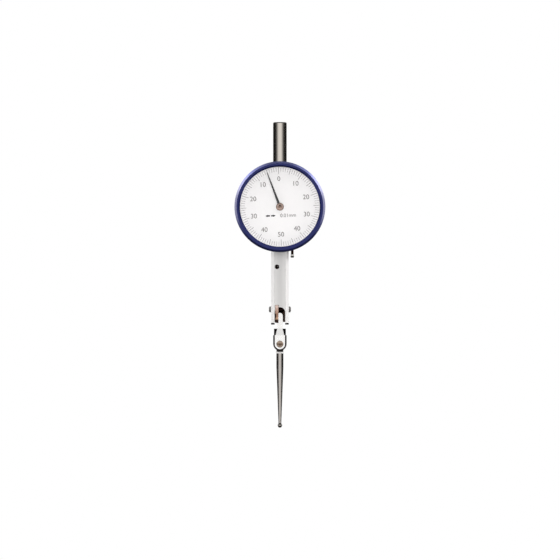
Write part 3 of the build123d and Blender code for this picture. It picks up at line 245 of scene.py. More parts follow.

# The plating reaches neither into the channel and the cover's inner face, nor onto the
# fork's sawn ends. The channel and the fork's ends are painted near black, as painted shade,
# and the cover is bare inside.
channel_half_width = 2.34 * MM
channel_back = 9 * MM
front_skin = 0.06 * MM
fork_end = 0.72 * MM
low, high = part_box("frame")
channel = (
    (-channel_half_width, low.y + front_skin, low.z - MM),
    (channel_half_width, channel_back, high.z),
)
fork_ends = (
    (low.x - MM, low.y - MM, low.z - MM),
    (high.x + MM, high.y + MM, low.z + fork_end),
)
# The near black tones are painted shade in the channel and under the fork's ends.
dress(
    half_plated(
        "Pearl chrome plate over a black channel",
        (channel, fork_ends),
        ("#1E1210", "#35231F"),
        "#F6F4F3",
    ),
    "frame",
)
low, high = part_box("back_cover")
inner_face = (
    (-channel_half_width, low.y - MM, low.z - MM),
    (channel_half_width, low.y + front_skin, high.z + MM),
)
dress(
    half_plated(
        "Pearl chrome plate, bare inside", (inner_face,), ("#C9A796", "#DFBDAA"), "#E9E7E6"
    ),
    "back_cover",
)

# Stem. A hardened steel rod, centreless ground to size, so its fine marks run round it.
# It mirrors the white studio in a stripe down its middle, with dark flanks. The chamfer of
# its free end is painted dark, as a painted dark reflection; its end face and its block are satin.
stem_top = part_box("stem")[1].z
stem_chamfer = 0.36 * MM
block_top = 0.0
square_on = (0.95, 1.1)


def metal(
    name, dark, light, roughness, grain_mm, depth_mm, centre=(0, 0, 0), turned=None, metallic=1.0
):
    """A metal with tool marks: they shade its colour between dark and light, vary its
    roughness between two values, and stand depth_mm proud."""
    material, tree, shader = new_material(name)
    marks = tool_marks(tree, grain_mm, centre, turned)
    tones = {"Factor": marks, "A": linear(dark), "B": linear(light)}
    tint = add(tree, "ShaderNodeMix", tones, data_type="RGBA").outputs["Result"]
    least, most = roughness
    polish = add(tree, "ShaderNodeMapRange", {"Value": marks, "To Min": least, "To Max": most})
    proud = depth_mm * MM
    relief = add(tree, "ShaderNodeBump", {"Height": marks, "Distance": proud, "Strength": 1.0})
    fill(shader, {"Base Color": tint, "Roughness": polish.outputs[0], "Normal": relief.outputs[0]})
    shader.inputs["Metallic"].default_value = metallic
    return material


ground_steel = metal(
    "Ground steel", "#CBC4BB", "#E0D9D0", (0.12, 0.15), (0.5, 0.12, 1.0), 0.0001, turned="Z"
)
tree = ground_steel.node_tree
shader = tree.nodes["Principled BSDF"]
tone = shader.inputs["Base Color"].links[0].from_socket
ground = shader.inputs["Roughness"].links[0].from_socket
height = place_on(tree, "Z")
near_end = {0: height, 1: stem_top - stem_chamfer}
at_end = add(tree, "ShaderNodeMath", near_end, operation="GREATER_THAN").outputs[0]
sloping = leaning(tree, "Z", 0.3, 0.95)
chamfer_painted_dark = add(tree, "ShaderNodeMath", {0: at_end, 1: sloping}, operation="MULTIPLY").outputs[0]
in_block = add(tree, "ShaderNodeMath", {0: height, 1: block_top}, operation="LESS_THAN")
end_face = leaning(tree, "Z", *square_on)
either = {0: in_block.outputs[0], 1: end_face}
satin = add(tree, "ShaderNodeMath", either, operation="MAXIMUM").outputs[0]
dulled = add(
    tree, "ShaderNodeMix", {"Factor": satin, "A": tone, "B": linear("#D2CFCC")}, data_type="RGBA"
)
# The chamfer is painted dark, as a painted dark reflection.
ended = add(
    tree,
    "ShaderNodeMix",
    {"Factor": chamfer_painted_dark, "A": dulled.outputs["Result"], "B": linear("#4F4843")},
    data_type="RGBA",
).outputs["Result"]
rough = add(tree, "ShaderNodeMath", {0: satin, 1: 0.3, 2: ground}, operation="MULTIPLY_ADD")
shine = add(tree, "ShaderNodeMapRange", {"Value": satin, "To Min": 1.0, "To Max": 0.45})
fill(shader, {"Base Color": ended, "Roughness": rough.outputs[0], "Metallic": shine.outputs[0]})
dress(ground_steel, "stem")

# Bezel. Turned aluminium, anodised dark blue. The dye is deep and even on its face. The
# bevel is painted paler towards its top, as painted highlight. On both sides of its upper
# half the bevel and its outermost edge are paler still: partly wear where a finger and a
# thumb turn the bezel, and partly painted highlight where the upper lamps catch it.
low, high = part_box("bezel")
dial_centre = (low + high) / 2
bezel_radius = (high.x - low.x) / 2
bezel_bevel_depth = 0.75 * MM
edge_wear = 0.35 * MM

blue_anodised, tree, shader = new_material("Blue anodised aluminium")
lathe = tool_marks(tree, (0.12, 0.12, 1.0), dial_centre, "Y")
cloud = tool_marks(tree, (9.0, 9.0, 9.0))
dye = add(
    tree,
    "ShaderNodeMix",
    {"Factor": cloud, "A": linear("#121A56"), "B": linear("#1F2662")},
    data_type="RGBA",
)
# The bevel, which is painted paler as painted highlight.
bevel_mask = leaning(tree, "Y", 0.6, 0.85)
radius, parts = from_axis(tree, dial_centre, "Y")
outermost = add(
    tree,
    "ShaderNodeMapRange",
    {"Value": radius, "From Min": bezel_radius - edge_wear, "From Max": bezel_radius},
)
edge_depth = low.y + bezel_bevel_depth - dial_centre.y
forward = add(
    tree,
    "ShaderNodeMapRange",
    {"Value": parts["Y"], "From Min": edge_depth + edge_wear, "From Max": edge_depth},
)
both = {0: outermost.outputs[0], 1: forward.outputs[0]}
rim = add(tree, "ShaderNodeMath", both, operation="MULTIPLY")
aside = add(tree, "ShaderNodeMath", {0: parts["X"]}, operation="ABSOLUTE").outputs[0]
# Both sides of the bezel: partly wear, partly painted highlight from the upper lamps.
sides_worn_and_lit = add(
    tree,
    "ShaderNodeMapRange",
    {"Value": aside, "From Min": 0.60 * bezel_radius, "From Max": 0.95 * bezel_radius},
    interpolation_type="SMOOTHSTEP",
)
upper = add(
    tree,
    "ShaderNodeMapRange",
    {
        "Value": parts["Z"],
        "From Min": -0.45 * bezel_radius,
        "From Max": -0.05 * bezel_radius,
        "To Max": 0.5,
    },
    interpolation_type="SMOOTHSTEP",
).outputs[0]
upper_sides_worn_and_lit = add(tree, "ShaderNodeMath", {0: sides_worn_and_lit.outputs[0], 1: upper}, operation="MULTIPLY")
painted_shading_zone = add(tree, "ShaderNodeMath", {0: rim.outputs[0], 1: bevel_mask}, operation="MAXIMUM")
both = {0: upper_sides_worn_and_lit.outputs[0], 1: painted_shading_zone.outputs[0]}
worn = add(tree, "ShaderNodeMath", both, operation="MULTIPLY").outputs[0]
# Painted highlight on the bevel, strongest above the middle.
share = add(tree, "ShaderNodeMapRange", {"Value": upper, "From Max": 0.5, "To Min": 0.08})
bevel_painted_highlight = add(tree, "ShaderNodeMath", {0: share.outputs[0], 1: bevel_mask}, operation="MULTIPLY")
paler = add(
    tree,
    "ShaderNodeMix",
    {"Factor": bevel_painted_highlight.outputs[0], "A": dye.outputs["Result"], "B": linear("#7074AA")},
    data_type="RGBA",
)
# Paler still on both upper sides and at the edge: partly wear, partly painted highlight.
worn_and_lit = add(
    tree,
    "ShaderNodeMix",
    {"Factor": worn, "A": paler.outputs["Result"], "B": linear("#B4B1C8")},
    data_type="RGBA",
)
shine = add(tree, "ShaderNodeMapRange", {"Value": worn, "To Min": 0.75, "To Max": 0.0})
polish = add(tree, "ShaderNodeMapRange", {"Value": lathe, "To Min": 0.24, "To Max": 0.36})
proud = 0.001 * MM
relief = add(tree, "ShaderNodeBump", {"Height": lathe, "Distance": proud, "Strength": 1.0})
fill(
    shader,
    {
        "Base Color": worn_and_lit.outputs["Result"],
        "Metallic": shine.outputs[0],
        "Roughness": polish.outputs[0],
        "Normal": relief.outputs[0],
        "Coat Weight": 0.3,
        "Coat Roughness": 0.18,
        "Coat IOR": 1.5,
    },
)
dress(blue_anodised, "bezel")

# Crystal. Clear acrylic, moulded with a shallow dome and polished on both faces. It is
# pressed in behind the bezel's lip, bends light hardly at all, and mirrors it only faintly.
acrylic, tree = empty_material("Clear acrylic")
scuffs = tool_marks(tree, (2.5, 2.5, 2.5))
polish = add(tree, "ShaderNodeMapRange", {"Value": scuffs, "To Min": 0.03, "To Max": 0.07})
through = add(tree, "ShaderNodeBsdfTransparent", {"Color": linear("#FEFEFF")})
glossy = {"Color": (1, 1, 1, 1), "Roughness": polish.outputs[0]}
mirror = add(tree, "ShaderNodeBsdfGlossy", glossy)
# Acrylic's own index: the front face mirrors about 4%, and more only at a grazing look.
facing = add(tree, "ShaderNodeFresnel", {"IOR": 1.49})
inner_side = add(tree, "ShaderNodeNewGeometry").outputs["Backfacing"]
outer_side = add(tree, "ShaderNodeMath", {0: 1.0, 1: inner_side}, operation="SUBTRACT")
both = {0: facing.outputs[0], 1: outer_side.outputs[0]}
share = add(tree, "ShaderNodeMath", both, operation="MULTIPLY")
mixed = {0: share.outputs[0], 1: through.outputs[0], 2: mirror.outputs[0]}
surface = add(tree, "ShaderNodeMixShader", mixed)
add(tree, "ShaderNodeOutputMaterial", {"Surface": surface.outputs[0]})
dress(acrylic, "crystal")
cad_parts["crystal"].visible_shadow = False

# Hand. Blanked from thin brass sheet and lacquered black. The lacquer is thin and satin,
# so it has only a little sheen.
lacquer = metal(
    "Black lacquer", "#100F11", "#1E1C1E", (0.34, 0.46), (0.2, 0.2, 0.2), 0.0008, metallic=0.0
)
lacquer.node_tree.nodes["Principled BSDF"].inputs["Specular IOR Level"].default_value = 0.2
dress(lacquer, "pointer_hand")

# Dial plate. An aluminium disc under fired white enamel, satin and very slightly
# uneven, printed with a hundred divisions and turned with the bezel to set zero.
enamel, tree, shader = new_material("White dial enamel")
orange_peel = tool_marks(tree, (0.4, 0.4, 0.4))
tint = add(
    tree,
    "ShaderNodeMix",
    {"Factor": orange_peel, "A": linear("#FAF8F5"), "B": linear("#FEFCF9")},
    data_type="RGBA",
).outputs["Result"]
proud = 0.001 * MM
relief = add(tree, "ShaderNodeBump", {"Height": orange_peel, "Distance": proud, "Strength": 0.6})
fill(shader, {"Base Color": tint, "Normal": relief.outputs[0], "Roughness": 0.42})
dress(enamel, "dial_plate")

# Divisions. Screen printed in warm grey ink, thinnest for single divisions and longest
# at every tenth. The ink stands two hundredths of a millimetre proud of the enamel.
divisions = 100
ink_thickness = 0.02 * MM
print_turn = math.radians(2.2)
dial_face_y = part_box("dial_plate")[0].y

ink, tree, shader = new_material("Printed dial ink")
speckle = tool_marks(tree, (0.25, 0.25, 0.25))
tint = add(
    tree,
    "ShaderNodeMix",
    {"Factor": speckle, "A": linear("#554F4B"), "B": linear("#6E6660")},
    data_type="RGBA",
).outputs["Result"]
fill(shader, {"Base Color": tint, "Roughness": 0.55})


def plain_mesh(obj, name):
    """The object's finished shape as a new plain mesh object at the origin."""
    finished = obj.evaluated_get(bpy.context.evaluated_depsgraph_get())
    made = bpy.data.objects.new(name, bpy.data.meshes.new_from_object(finished))
    bpy.context.scene.collection.objects.link(made)
    bpy.data.objects.remove(obj)
    return made


def tick_tree():
    """Ticks round a centre: every tenth is long, every fifth middling, the rest short."""
    tree = bpy.data.node_groups.new("Dial divisions", "GeometryNodeTree")
    sizes = ("Outer Radius", "Short", "Middle", "Long", "Fine Width", "Bold Width", "Thickness")
    tree.interface.new_socket("Count", in_out="INPUT", socket_type="NodeSocketInt")
    for label in (*sizes, "Turn"):
        tree.interface.new_socket(label, in_out="INPUT", socket_type="NodeSocketFloat")
    tree.interface.new_socket("Ink", in_out="INPUT", socket_type="NodeSocketMaterial")
    tree.interface.new_socket("Geometry", in_out="OUTPUT", socket_type="NodeSocketGeometry")
    given = add(tree, "NodeGroupInput").outputs
    stacked = {"Count": given["Count"], "Offset": (0, 0, 0)}
    places = add(tree, "GeometryNodeMeshLine", stacked, mode="OFFSET")
    index = add(tree, "GeometryNodeInputIndex").outputs[0]
    turns = add(tree, "ShaderNodeMath", {0: index, 1: math.tau}, operation="MULTIPLY").outputs[0]
    step = add(tree, "ShaderNodeMath", {0: turns, 1: given["Count"]}, operation="DIVIDE")
    shifted = {0: step.outputs[0], 1: given["Turn"]}
    angle = add(tree, "ShaderNodeMath", shifted, operation="SUBTRACT")
    turn = add(tree, "ShaderNodeCombineXYZ", {"Y": angle.outputs[0]})
    on_every = {}
    for every in (10.0, 5.0):
        rest = add(tree, "ShaderNodeMath", {0: index, 1: every}, operation="MODULO").outputs[0]
        even = add(tree, "FunctionNodeCompare", {"A": rest, "B": 0.5}, operation="LESS_THAN")
        on_every[every] = even.outputs[0]
    off_ten = add(tree, "FunctionNodeBooleanMath", {0: on_every[10.0]}, operation="NOT")
    five_alone = {0: on_every[5.0], 1: off_ten.outputs[0]}
    only_five = add(tree, "FunctionNodeBooleanMath", five_alone, operation="AND")
    single = add(tree, "FunctionNodeBooleanMath", {0: on_every[5.0]}, operation="NOT")
    joined = add(tree, "GeometryNodeJoinGeometry")
    kinds = (
        ("Long", "Bold Width", on_every[10.0]),
        ("Middle", "Bold Width", only_five.outputs[0]),
        ("Short", "Fine Width", single.outputs[0]),
    )
    for length, width, chosen in kinds:
        sides = {"X": given[width], "Y": given["Thickness"], "Z": given[length]}
        size = add(tree, "ShaderNodeCombineXYZ", sides)
        bar = add(tree, "GeometryNodeMeshCube", {"Size": size.outputs[0]})
        half = add(tree, "ShaderNodeMath", {0: given[length], 1: 2.0}, operation="DIVIDE")
        inward = {0: given["Outer Radius"], 1: half.outputs[0]}
        reach = add(tree, "ShaderNodeMath", inward, operation="SUBTRACT")
        out = add(tree, "ShaderNodeCombineXYZ", {"Z": reach.outputs[0]})
        moved = {"Geometry": bar.outputs[0], "Translation": out.outputs[0]}
        placed = add(tree, "GeometryNodeTransform", moved)
        copies = add(
            tree,
            "GeometryNodeInstanceOnPoints",
            {
                "Points": places.outputs[0],
                "Selection": chosen,
                "Instance": placed.outputs[0],
                "Rotation": turn.outputs[0],
            },
        )
        tree.links.new(copies.outputs[0], joined.inputs[0])
    real = add(tree, "GeometryNodeRealizeInstances", {"Geometry": joined.outputs[0]})
    coloured = {"Geometry": real.outputs[0], "Material": given["Ink"]}
    inked = add(tree, "GeometryNodeSetMaterial", coloured)
    add(tree, "NodeGroupOutput", {"Geometry": inked.outputs[0]})
    return tree


def grown(tree, name, values):
    """Runs a Geometry Nodes tree with these named inputs and returns its plain mesh object."""
    holder = bpy.data.objects.new(name + "_seed", bpy.data.meshes.new(name + "_seed"))
    bpy.context.scene.collection.objects.link(holder)
    modifier = holder.modifiers.new("build", "NODES")
    modifier.node_group = tree
    for item in tree.interface.items_tree:
        if item.in_out == "INPUT":
            modifier[item.identifier] = values[item.name]
    return plain_mesh(holder, name)


ticks = grown(
    tick_tree(),
    "dial_divisions",
    {
        "Count": divisions,
        "Outer Radius": 17.1 * MM,
        "Short": 1.9 * MM,
        "Middle": 2.5 * MM,
        "Long": 2.9 * MM,
        "Fine Width": 0.11 * MM,
        "Bold Width": 0.15 * MM,
        "Thickness": ink_thickness,
        "Turn": print_turn,
        "Ink": ink,
    },
)
on_dial = Vector((dial_centre.x, dial_face_y - ink_thickness / 2, dial_centre.z))
ticks.data.transform(Matrix.Translation(on_dial))
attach(ticks, "bezel_group")

# Numerals and unit. The same ink: plain figures that count up both ways from zero, and the
# value of one division. Two arrowheads in black show the two ways the hand can turn.
figure_height = 2.0 * MM
figure_circle = 12.1 * MM
unit_height = 1.5 * MM
unit_place = (3.45 * MM, -3.9 * MM)
capital_share = 0.70
printed_face = Matrix.Translation(
    (dial_centre.x, dial_face_y - ink_thickness, dial_centre.z)
) @ Matrix.Rotation(-print_turn, 4, "Y")


def printed(text, across, up, height, name):
    """Flat lettering on the dial, centred at that place on the face and turned with it."""
    curve = bpy.data.curves.new(name, "FONT")
    curve.body = text
    curve.align_x = "CENTER"
    curve.align_y = "CENTER"
    curve.size = height / capital_share
    made = plain_mesh(bpy.data.objects.new(name + "_curve", curve), name)
    stand = Matrix.Rotation(math.radians(90), 4, "X")
    made.data.transform(printed_face @ Matrix.Translation((across, 0, up)) @ stand)
    made.data.materials.clear()
    made.data.materials.append(ink)
    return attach(made, "bezel_group")


for tenth in range(10):
    turn = math.tau * tenth / 10
    value = 10 * min(tenth, 10 - tenth)
    printed(
        str(value),
        figure_circle * math.sin(turn),
        figure_circle * math.cos(turn),
        figure_height,
        f"dial_figure_{tenth}",
    )
printed("0.01mm", *unit_place, unit_height, "dial_unit")

arrow_length = 2.0 * MM
arrow_height = 1.0 * MM
arrows_across = -4.25 * MM
arrows_up = -3.8 * MM
arrow_offset = 1.25 * MM
arrow_outline = (
    (-0.5, 0.3), (0.0, 0.3), (0.0, 0.5), (0.5, 0), (0.0, -0.5), (0.0, -0.3), (-0.5, -0.3)
)
arrows = bpy.data.meshes.new("dial_arrows")
shape = bmesh.new()
for side in (-1, 1):
    middle = Vector((arrows_across + side * arrow_offset, 0, arrows_up))
    corners = [
        shape.verts.new(middle + Vector((side * u * arrow_length, 0, v * arrow_height)))
        for u, v in arrow_outline
    ]
    # Both outlines are laid the same way round, so that both faces look to the front.
    shape.faces.new(corners[::-side])
bmesh.ops.transform(shape, matrix=printed_face, verts=shape.verts)
shape.to_mesh(arrows)
shape.free()
arrows.materials.append(lacquer)
arrow_pair = bpy.data.objects.new("dial_arrows", arrows)
bpy.context.scene.collection.objects.link(arrow_pair)
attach(arrow_pair, "bezel_group")

# Spacer ring. A matt pale moulding between the dial and the crystal, seen edge on
# through the crystal as a thin shaded line inside the bezel.
moulding = metal(
    "Pale moulded plastic", "#C9C8CE", "#DAD9DE", (0.5, 0.62), (0.3, 0.3, 0.3), 0.002, metallic=0.0
)
dress(moulding, "spacer_ring")

# Hand's hub and arbor. The hub is turned brass with a dished, burnished face. The arbor's
# end in its middle is steel under a thin coat of bronze.
arbor_bronze = metal(
    "Bronze coated arbor steel",
    "#5E4032",
    "#86644F",
    (0.30, 0.42),
    (0.1, 0.1, 0.5),
    0.0005,
    metallic=0.9,
)
dress(arbor_bronze, "pointer_arbor")
hub_brass = metal(
    "Dished brass hub",
    "#9A7F70",
    "#CDB4A5",
    (0.12, 0.18),
    (0.1, 0.1, 0.5),
    0.0005,
    dial_centre,
    "Y",
)
dress(hub_brass, "pointer_hub")

# The movement's brass pieces: bridge, cock, pillars, crown wheel, collet and stud. They are
# milled or turned and left bare, so they have toned down to a warm brown in places.
turned_brass = metal(
    "Turned brass", "#8A6148", "#C09A78", (0.26, 0.40), (0.1, 0.1, 0.5), 0.001, dial_centre, "Y"
)
dress(
    turned_brass,
    "hairspring_collet",
    "hairspring_stud",
    "movement_bridge",
    "bridge_pillars",
    "rear_cock",
    "crown_wheel",
)

# Dial case. Aluminium, turned as a cup and left satin; its back is seen behind the bezel.
# The rings of the lathe run round it.
turned_aluminium = metal(
    "Turned aluminium",
    "#A9AAAE",
    "#C3C4C7",
    (0.30, 0.42),
    (0.14, 0.14, 1.0),
    0.0012,
    dial_centre,
    "Y",
)
dress(turned_aluminium, "dial_case")

# Bushes and friction washer. Phosphor bronze, turned or stamped, which is redder than
# brass and has a soft polish.
phosphor_bronze = metal(
    "Phosphor bronze", "#8C5B42", "#C48B69", (0.24, 0.38), (0.3, 0.3, 1.6), 0.0008
)
dress(phosphor_bronze, "arbor_bushes", "crown_bushes", "sector_bushes", "friction_washer")

# Blade spring. The same bronze in rolled strip. Its tone is painted along it: pale towards its
# fixed end and browner down its run, as painted light and shade inside the fork. Its last
# stretch, which rubs on the lever, and a patch of its left edge beside that are painted near
# black, as painted shade.
low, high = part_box("blade_spring")
blade_black_end = 1.3 * MM
blade_shade_width = 0.40 * MM
blade_shade_reach = (1.9 * MM, 4.0 * MM)
black_share = blade_black_end / (high.z - low.z)
# Painted light and shade along the strip, from near black at its free end to pale at its fixed end.
blade_tones = (
    (0.0, "#1C1412"),
    (black_share, "#2A1B16"),
    (black_share + 0.03, "#D9B292"),
    (0.19, "#C1927A"),
    (0.27, "#C49A82"),
    (0.36, "#EFC8B4"),
    (0.46, "#F4D6C8"),
    (0.55, "#FCEAE0"),
)
strip, tree, shader = new_material("Rolled bronze strip")
grain = tool_marks(tree, (0.25, 0.25, 1.4))
height = place_on(tree, "Z")
run = add(tree, "ShaderNodeMapRange", {"Value": height, "From Min": low.z, "From Max": high.z})
toned = add(tree, "ShaderNodeValToRGB", {"Fac": run.outputs[0]})
stops = toned.color_ramp.elements
for number, (share, tone) in enumerate(blade_tones):
    stop = stops[number] if number < 2 else stops.new(share)
    stop.position = share
    stop.color = linear(tone)
faint = add(tree, "ShaderNodeMapRange", {"Value": grain, "To Max": 0.3})
shade = add(
    tree,
    "ShaderNodeMix",
    {"Factor": faint.outputs[0], "A": toned.outputs["Color"], "B": linear("#7A5546")},
    data_type="RGBA",
)
# A patch of painted shade along its left edge.
left_edge_shade = masked(
    tree,
    (low.x - MM, low.y - MM, low.z + blade_shade_reach[0]),
    (low.x + blade_shade_width, high.y + MM, low.z + blade_shade_reach[1]),
)
edge_shaded = add(
    tree,
    "ShaderNodeMix",
    {"Factor": left_edge_shade, "A": shade.outputs["Result"], "B": linear("#3A2012")},
    data_type="RGBA",
).outputs["Result"]
polish = add(tree, "ShaderNodeMapRange", {"Value": grain, "To Min": 0.30, "To Max": 0.44})
fill(shader, {"Base Color": edge_shaded, "Roughness": polish.outputs[0], "Metallic": 0.35})
dress(strip, "blade_spring")

# Swivel screw. Its head is the same bronze, nickelled and worn. Its driver's slot and the
# head round it, most below the middle, are painted darker, as painted shade.
low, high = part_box("swivel_screw")
swivel_axis = (low + high) / 2
slot_half = 0.24 * MM
slot_floor = 0.30 * MM
screw_shade_drop = 0.35 * MM
screw_shade_reach = 1.1 * MM
worn_bronze, tree, shader = new_material("Nickelled bronze, worn")
scratches = tool_marks(tree, (0.7, 0.7, 0.7))
sound = add(
    tree,
    "ShaderNodeMix",
    {"Factor": scratches, "A": linear("#877463"), "B": linear("#BBA899")},
    data_type="RGBA",
)
place = add(tree, "ShaderNodeTexCoord").outputs["Object"]
# Painted shade on the head, darkest a little below its middle.
screw_shade_centre = Vector((swivel_axis.x, low.y, swivel_axis.z - screw_shade_drop))
away = add(tree, "ShaderNodeVectorMath", {0: place, 1: screw_shade_centre}, operation="DISTANCE")
screw_shade = add(
    tree,
    "ShaderNodeMapRange",
    {
        "Value": away.outputs["Value"],
        "From Min": 0.0,
        "From Max": screw_shade_reach,
        "To Min": 0.75,
        "To Max": 0.0,
    },
    interpolation_type="SMOOTHSTEP",
)
shaded_head = add(
    tree,
    "ShaderNodeMix",
    {"Factor": screw_shade.outputs[0], "A": sound.outputs["Result"], "B": linear("#4A3528")},
    data_type="RGBA",
)
# Painted shade in the driver's slot.
in_slot = masked(
    tree,
    (low.x - MM, low.y + slot_floor, swivel_axis.z - slot_half),
    (high.x + MM, high.y, swivel_axis.z + slot_half),
)
skin = add(
    tree,
    "ShaderNodeMix",
    {"Factor": in_slot, "A": shaded_head.outputs["Result"], "B": linear("#5C4638")},
    data_type="RGBA",
).outputs["Result"]
polish = add(tree, "ShaderNodeMapRange", {"Value": scratches, "To Min": 0.28, "To Max": 0.44})
fill(shader, {"Base Color": skin, "Roughness": polish.outputs[0], "Metallic": 0.9})
dress(worn_bronze, "swivel_screw")

# Screws and ring nuts. Free cutting steel, turned bright, with the fine rings of the lathe
# on their heads. Those at the fork are darkened by oil.
bright_steel = metal(
    "Turned bright steel", "#8E8B88", "#B5B2AE", (0.20, 0.34), (0.16, 0.16, 0.16), 0.001
)
dark_steel = metal(
    "Oil blackened steel",
    "#73706E",
    "#8F8B88",
    (0.24, 0.38),
    (0.16, 0.16, 0.16),
    0.001,
    metallic=0.7,
)
dress(dark_steel, "pivot_screws", "ring_nuts")
dress(
    bright_steel,
    "clamp_screw",
    "cover_screws",
    "case_screws",
    "bridge_screws",
    "cock_screw",
    "blade_screw",
    "lap_screw",
)

# Crown shaft, sector arbor, drive pin and the reversing lever's cam. They carry load, so
# they are hardened and polished, a shade darker than the screws.
hardened = metal(
    "Hardened polished steel", "#8B8987", "#A9A7A4", (0.10, 0.20), (0.2, 0.2, 0.8), 0.0005
)
dress(hardened, "crown_shaft", "sector_arbor", "drive_pin", "reversing_cam")

# Hairspring and the bezel's clip. Steel strip and wire, coiled or bent to shape and then
# tempered to a deep blue.
blued = metal("Blued spring steel", "#26304F", "#3A4670", (0.22, 0.34), (0.3, 0.3, 0.3), 0.0006)
dress(blued, "hairspring", "bezel_clip")

# Stylus lever with its arbor, sector lever and reversing lever. Milled steel, blackened
# against rust. Its near black also serves as painted shade, so the fork's arch looks dark round
# the bright neck in front of it and the access hole looks dark inside.
# Near black: a blackened finish, and painted shade for the arch and the access hole.
shade_black_steel = metal(
    "Blackened steel", "#1E1211", "#332320", (0.34, 0.5), (0.25, 0.25, 0.7), 0.0015
)
dress(shade_black_steel, "stylus_lever", "reversing_lever", "sector_lever", "lever_arbor")

# Stylus holder. Turned steel. Where it faces the front, on its flats and the front of its
# neck, it is painted nearly white, as painted highlight. Its turned flanks and the very edge
# of the flats are painted near black, as painted shade.
low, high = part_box("stylus_holder")
bright_half_width = 2.22 * MM
holder_steel, tree, shader = new_material("Steel painted lit in front and shaded at its flanks")
straight = masked(
    tree,
    (swivel_axis.x - bright_half_width, low.y - MM, swivel_axis.z),
    (swivel_axis.x + bright_half_width, high.y + MM, high.z + MM),
)
radius = from_axis(tree, swivel_axis, "Y")[0]
rounded = add(tree, "ShaderNodeMath", {0: radius, 1: bright_half_width}, operation="LESS_THAN")
either = {0: straight, 1: rounded.outputs[0]}
inside = add(tree, "ShaderNodeMath", either, operation="MAXIMUM")
# Surfaces that face the front get the painted highlight; the rest get the painted shade.
both = {0: inside.outputs[0], 1: leaning(tree, "Y", *square_on)}
faces_front = add(tree, "ShaderNodeMath", both, operation="MULTIPLY").outputs[0]
cutter = tool_marks(tree, (0.5, 0.5, 0.5))
bright = add(
    tree,
    "ShaderNodeMix",
    {"Factor": cutter, "A": linear("#F1EFED"), "B": linear("#FBFAF8")},
    data_type="RGBA",
)
# The near black of the painted shade.
shaded_tone = add(
    tree,
    "ShaderNodeMix",
    {"Factor": cutter, "A": linear("#2A1D20"), "B": linear("#43363A")},
    data_type="RGBA",
)
skin = add(
    tree,
    "ShaderNodeMix",
    {"Factor": faces_front, "A": shaded_tone.outputs["Result"], "B": bright.outputs["Result"]},
    data_type="RGBA",
)
polish = add(tree, "ShaderNodeMapRange", {"Value": cutter, "To Min": 0.18, "To Max": 0.26})
proud = 0.0006 * MM
relief = add(tree, "ShaderNodeBump", {"Height": cutter, "Distance": proud, "Strength": 1.0})
shine = add(tree, "ShaderNodeMapRange", {"Value": faces_front, "To Min": 1.0, "To Max": 0.9})
fill(
    shader,
    {
        "Base Color": skin.outputs["Result"],
        "Roughness": polish.outputs[0],
        "Normal": relief.outputs[0],
        "Metallic": shine.outputs[0],
    },
)
dress(holder_steel, "stylus_holder")

# Swivel hub. Its disc and tongue are painted near black, as painted shade, like the
# holder's flanks, and the collar below, against which the stylus is screwed, is satin plated.
hub_collar_start = 3.42 * MM
hub_steel, tree, shader = new_material("Steel painted dark with a satin collar")
at_collar = {0: place_on(tree, "Z"), 1: swivel_axis.z - hub_collar_start}
collar = add(tree, "ShaderNodeMath", at_collar, operation="LESS_THAN")
cutter = tool_marks(tree, (0.4, 0.12, 1.0), turned="Z")
shaded_tone = add(
    tree,
    "ShaderNodeMix",
    {"Factor": cutter, "A": linear("#161415"), "B": linear("#2B2828")},
    data_type="RGBA",
)
# Near black painted shade above the collar, pale satin plate on the collar.
skin = add(
    tree,
    "ShaderNodeMix",
    {"Factor": collar.outputs[0], "A": shaded_tone.outputs["Result"], "B": linear("#EFEDEB")},
    data_type="RGBA",
).outputs["Result"]
polish = add(tree, "ShaderNodeMapRange", {"Value": cutter, "To Min": 0.42, "To Max": 0.52})
fill(shader, {"Base Color": skin, "Roughness": polish.outputs[0], "Metallic": 0.35})
dress(hub_steel, "swivel_hub")

# Stylus. A chromed steel shank, turned to a slow taper, with a carbide ball on its end.
# The ball is ground and polished, and brazed on, which leaves a dark ring at the joint.
low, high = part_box("stylus_ball")
braze_low = (low.z + high.z) / 2 + 0.34 * MM
stylus_chrome = metal(
    "Chromed stylus steel",
    "#B6B0AB",
    "#CDC7C1",
    (0.13, 0.16),
    (0.5, 0.14, 1.0),
    0.0001,
    turned="Z",
)
ball_carbide = metal(
    "Polished carbide", "#A29D98", "#B6B1AB", (0.08, 0.12), (0.3, 0.3, 0.3), 0.00005
)
for joined in (stylus_chrome, ball_carbide):
    tree = joined.node_tree
    colour = tree.nodes["Principled BSDF"].inputs["Base Color"]
    ring = masked(tree, (low.x - MM, low.y - MM, braze_low), (high.x + MM, high.y + MM, high.z))
    brazed = add(
        tree,
        "ShaderNodeMix",
        {"Factor": ring, "A": colour.links[0].from_socket, "B": linear("#2E2C2A")},
        data_type="RGBA",
    )
    tree.links.new(brazed.outputs["Result"], colour)
dress(stylus_chrome, "stylus_shank")
dress(ball_carbide, "stylus_ball")

# Reversing lever's knob. Turned steel, bright in its upper half; its lower half with its
# rounded tip is painted near black, as painted shade on its underside.
low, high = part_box("reversing_knob")
band_low = low.z + 0.5 * (high.z - low.z)
knob, tree, shader = new_material("Bright steel over a tip painted dark")
above_tip = {0: place_on(tree, "Z"), 1: band_low}
band = add(tree, "ShaderNodeMath", above_tip, operation="GREATER_THAN").outputs[0]
fine = tool_marks(tree, (0.2, 0.2, 0.2))
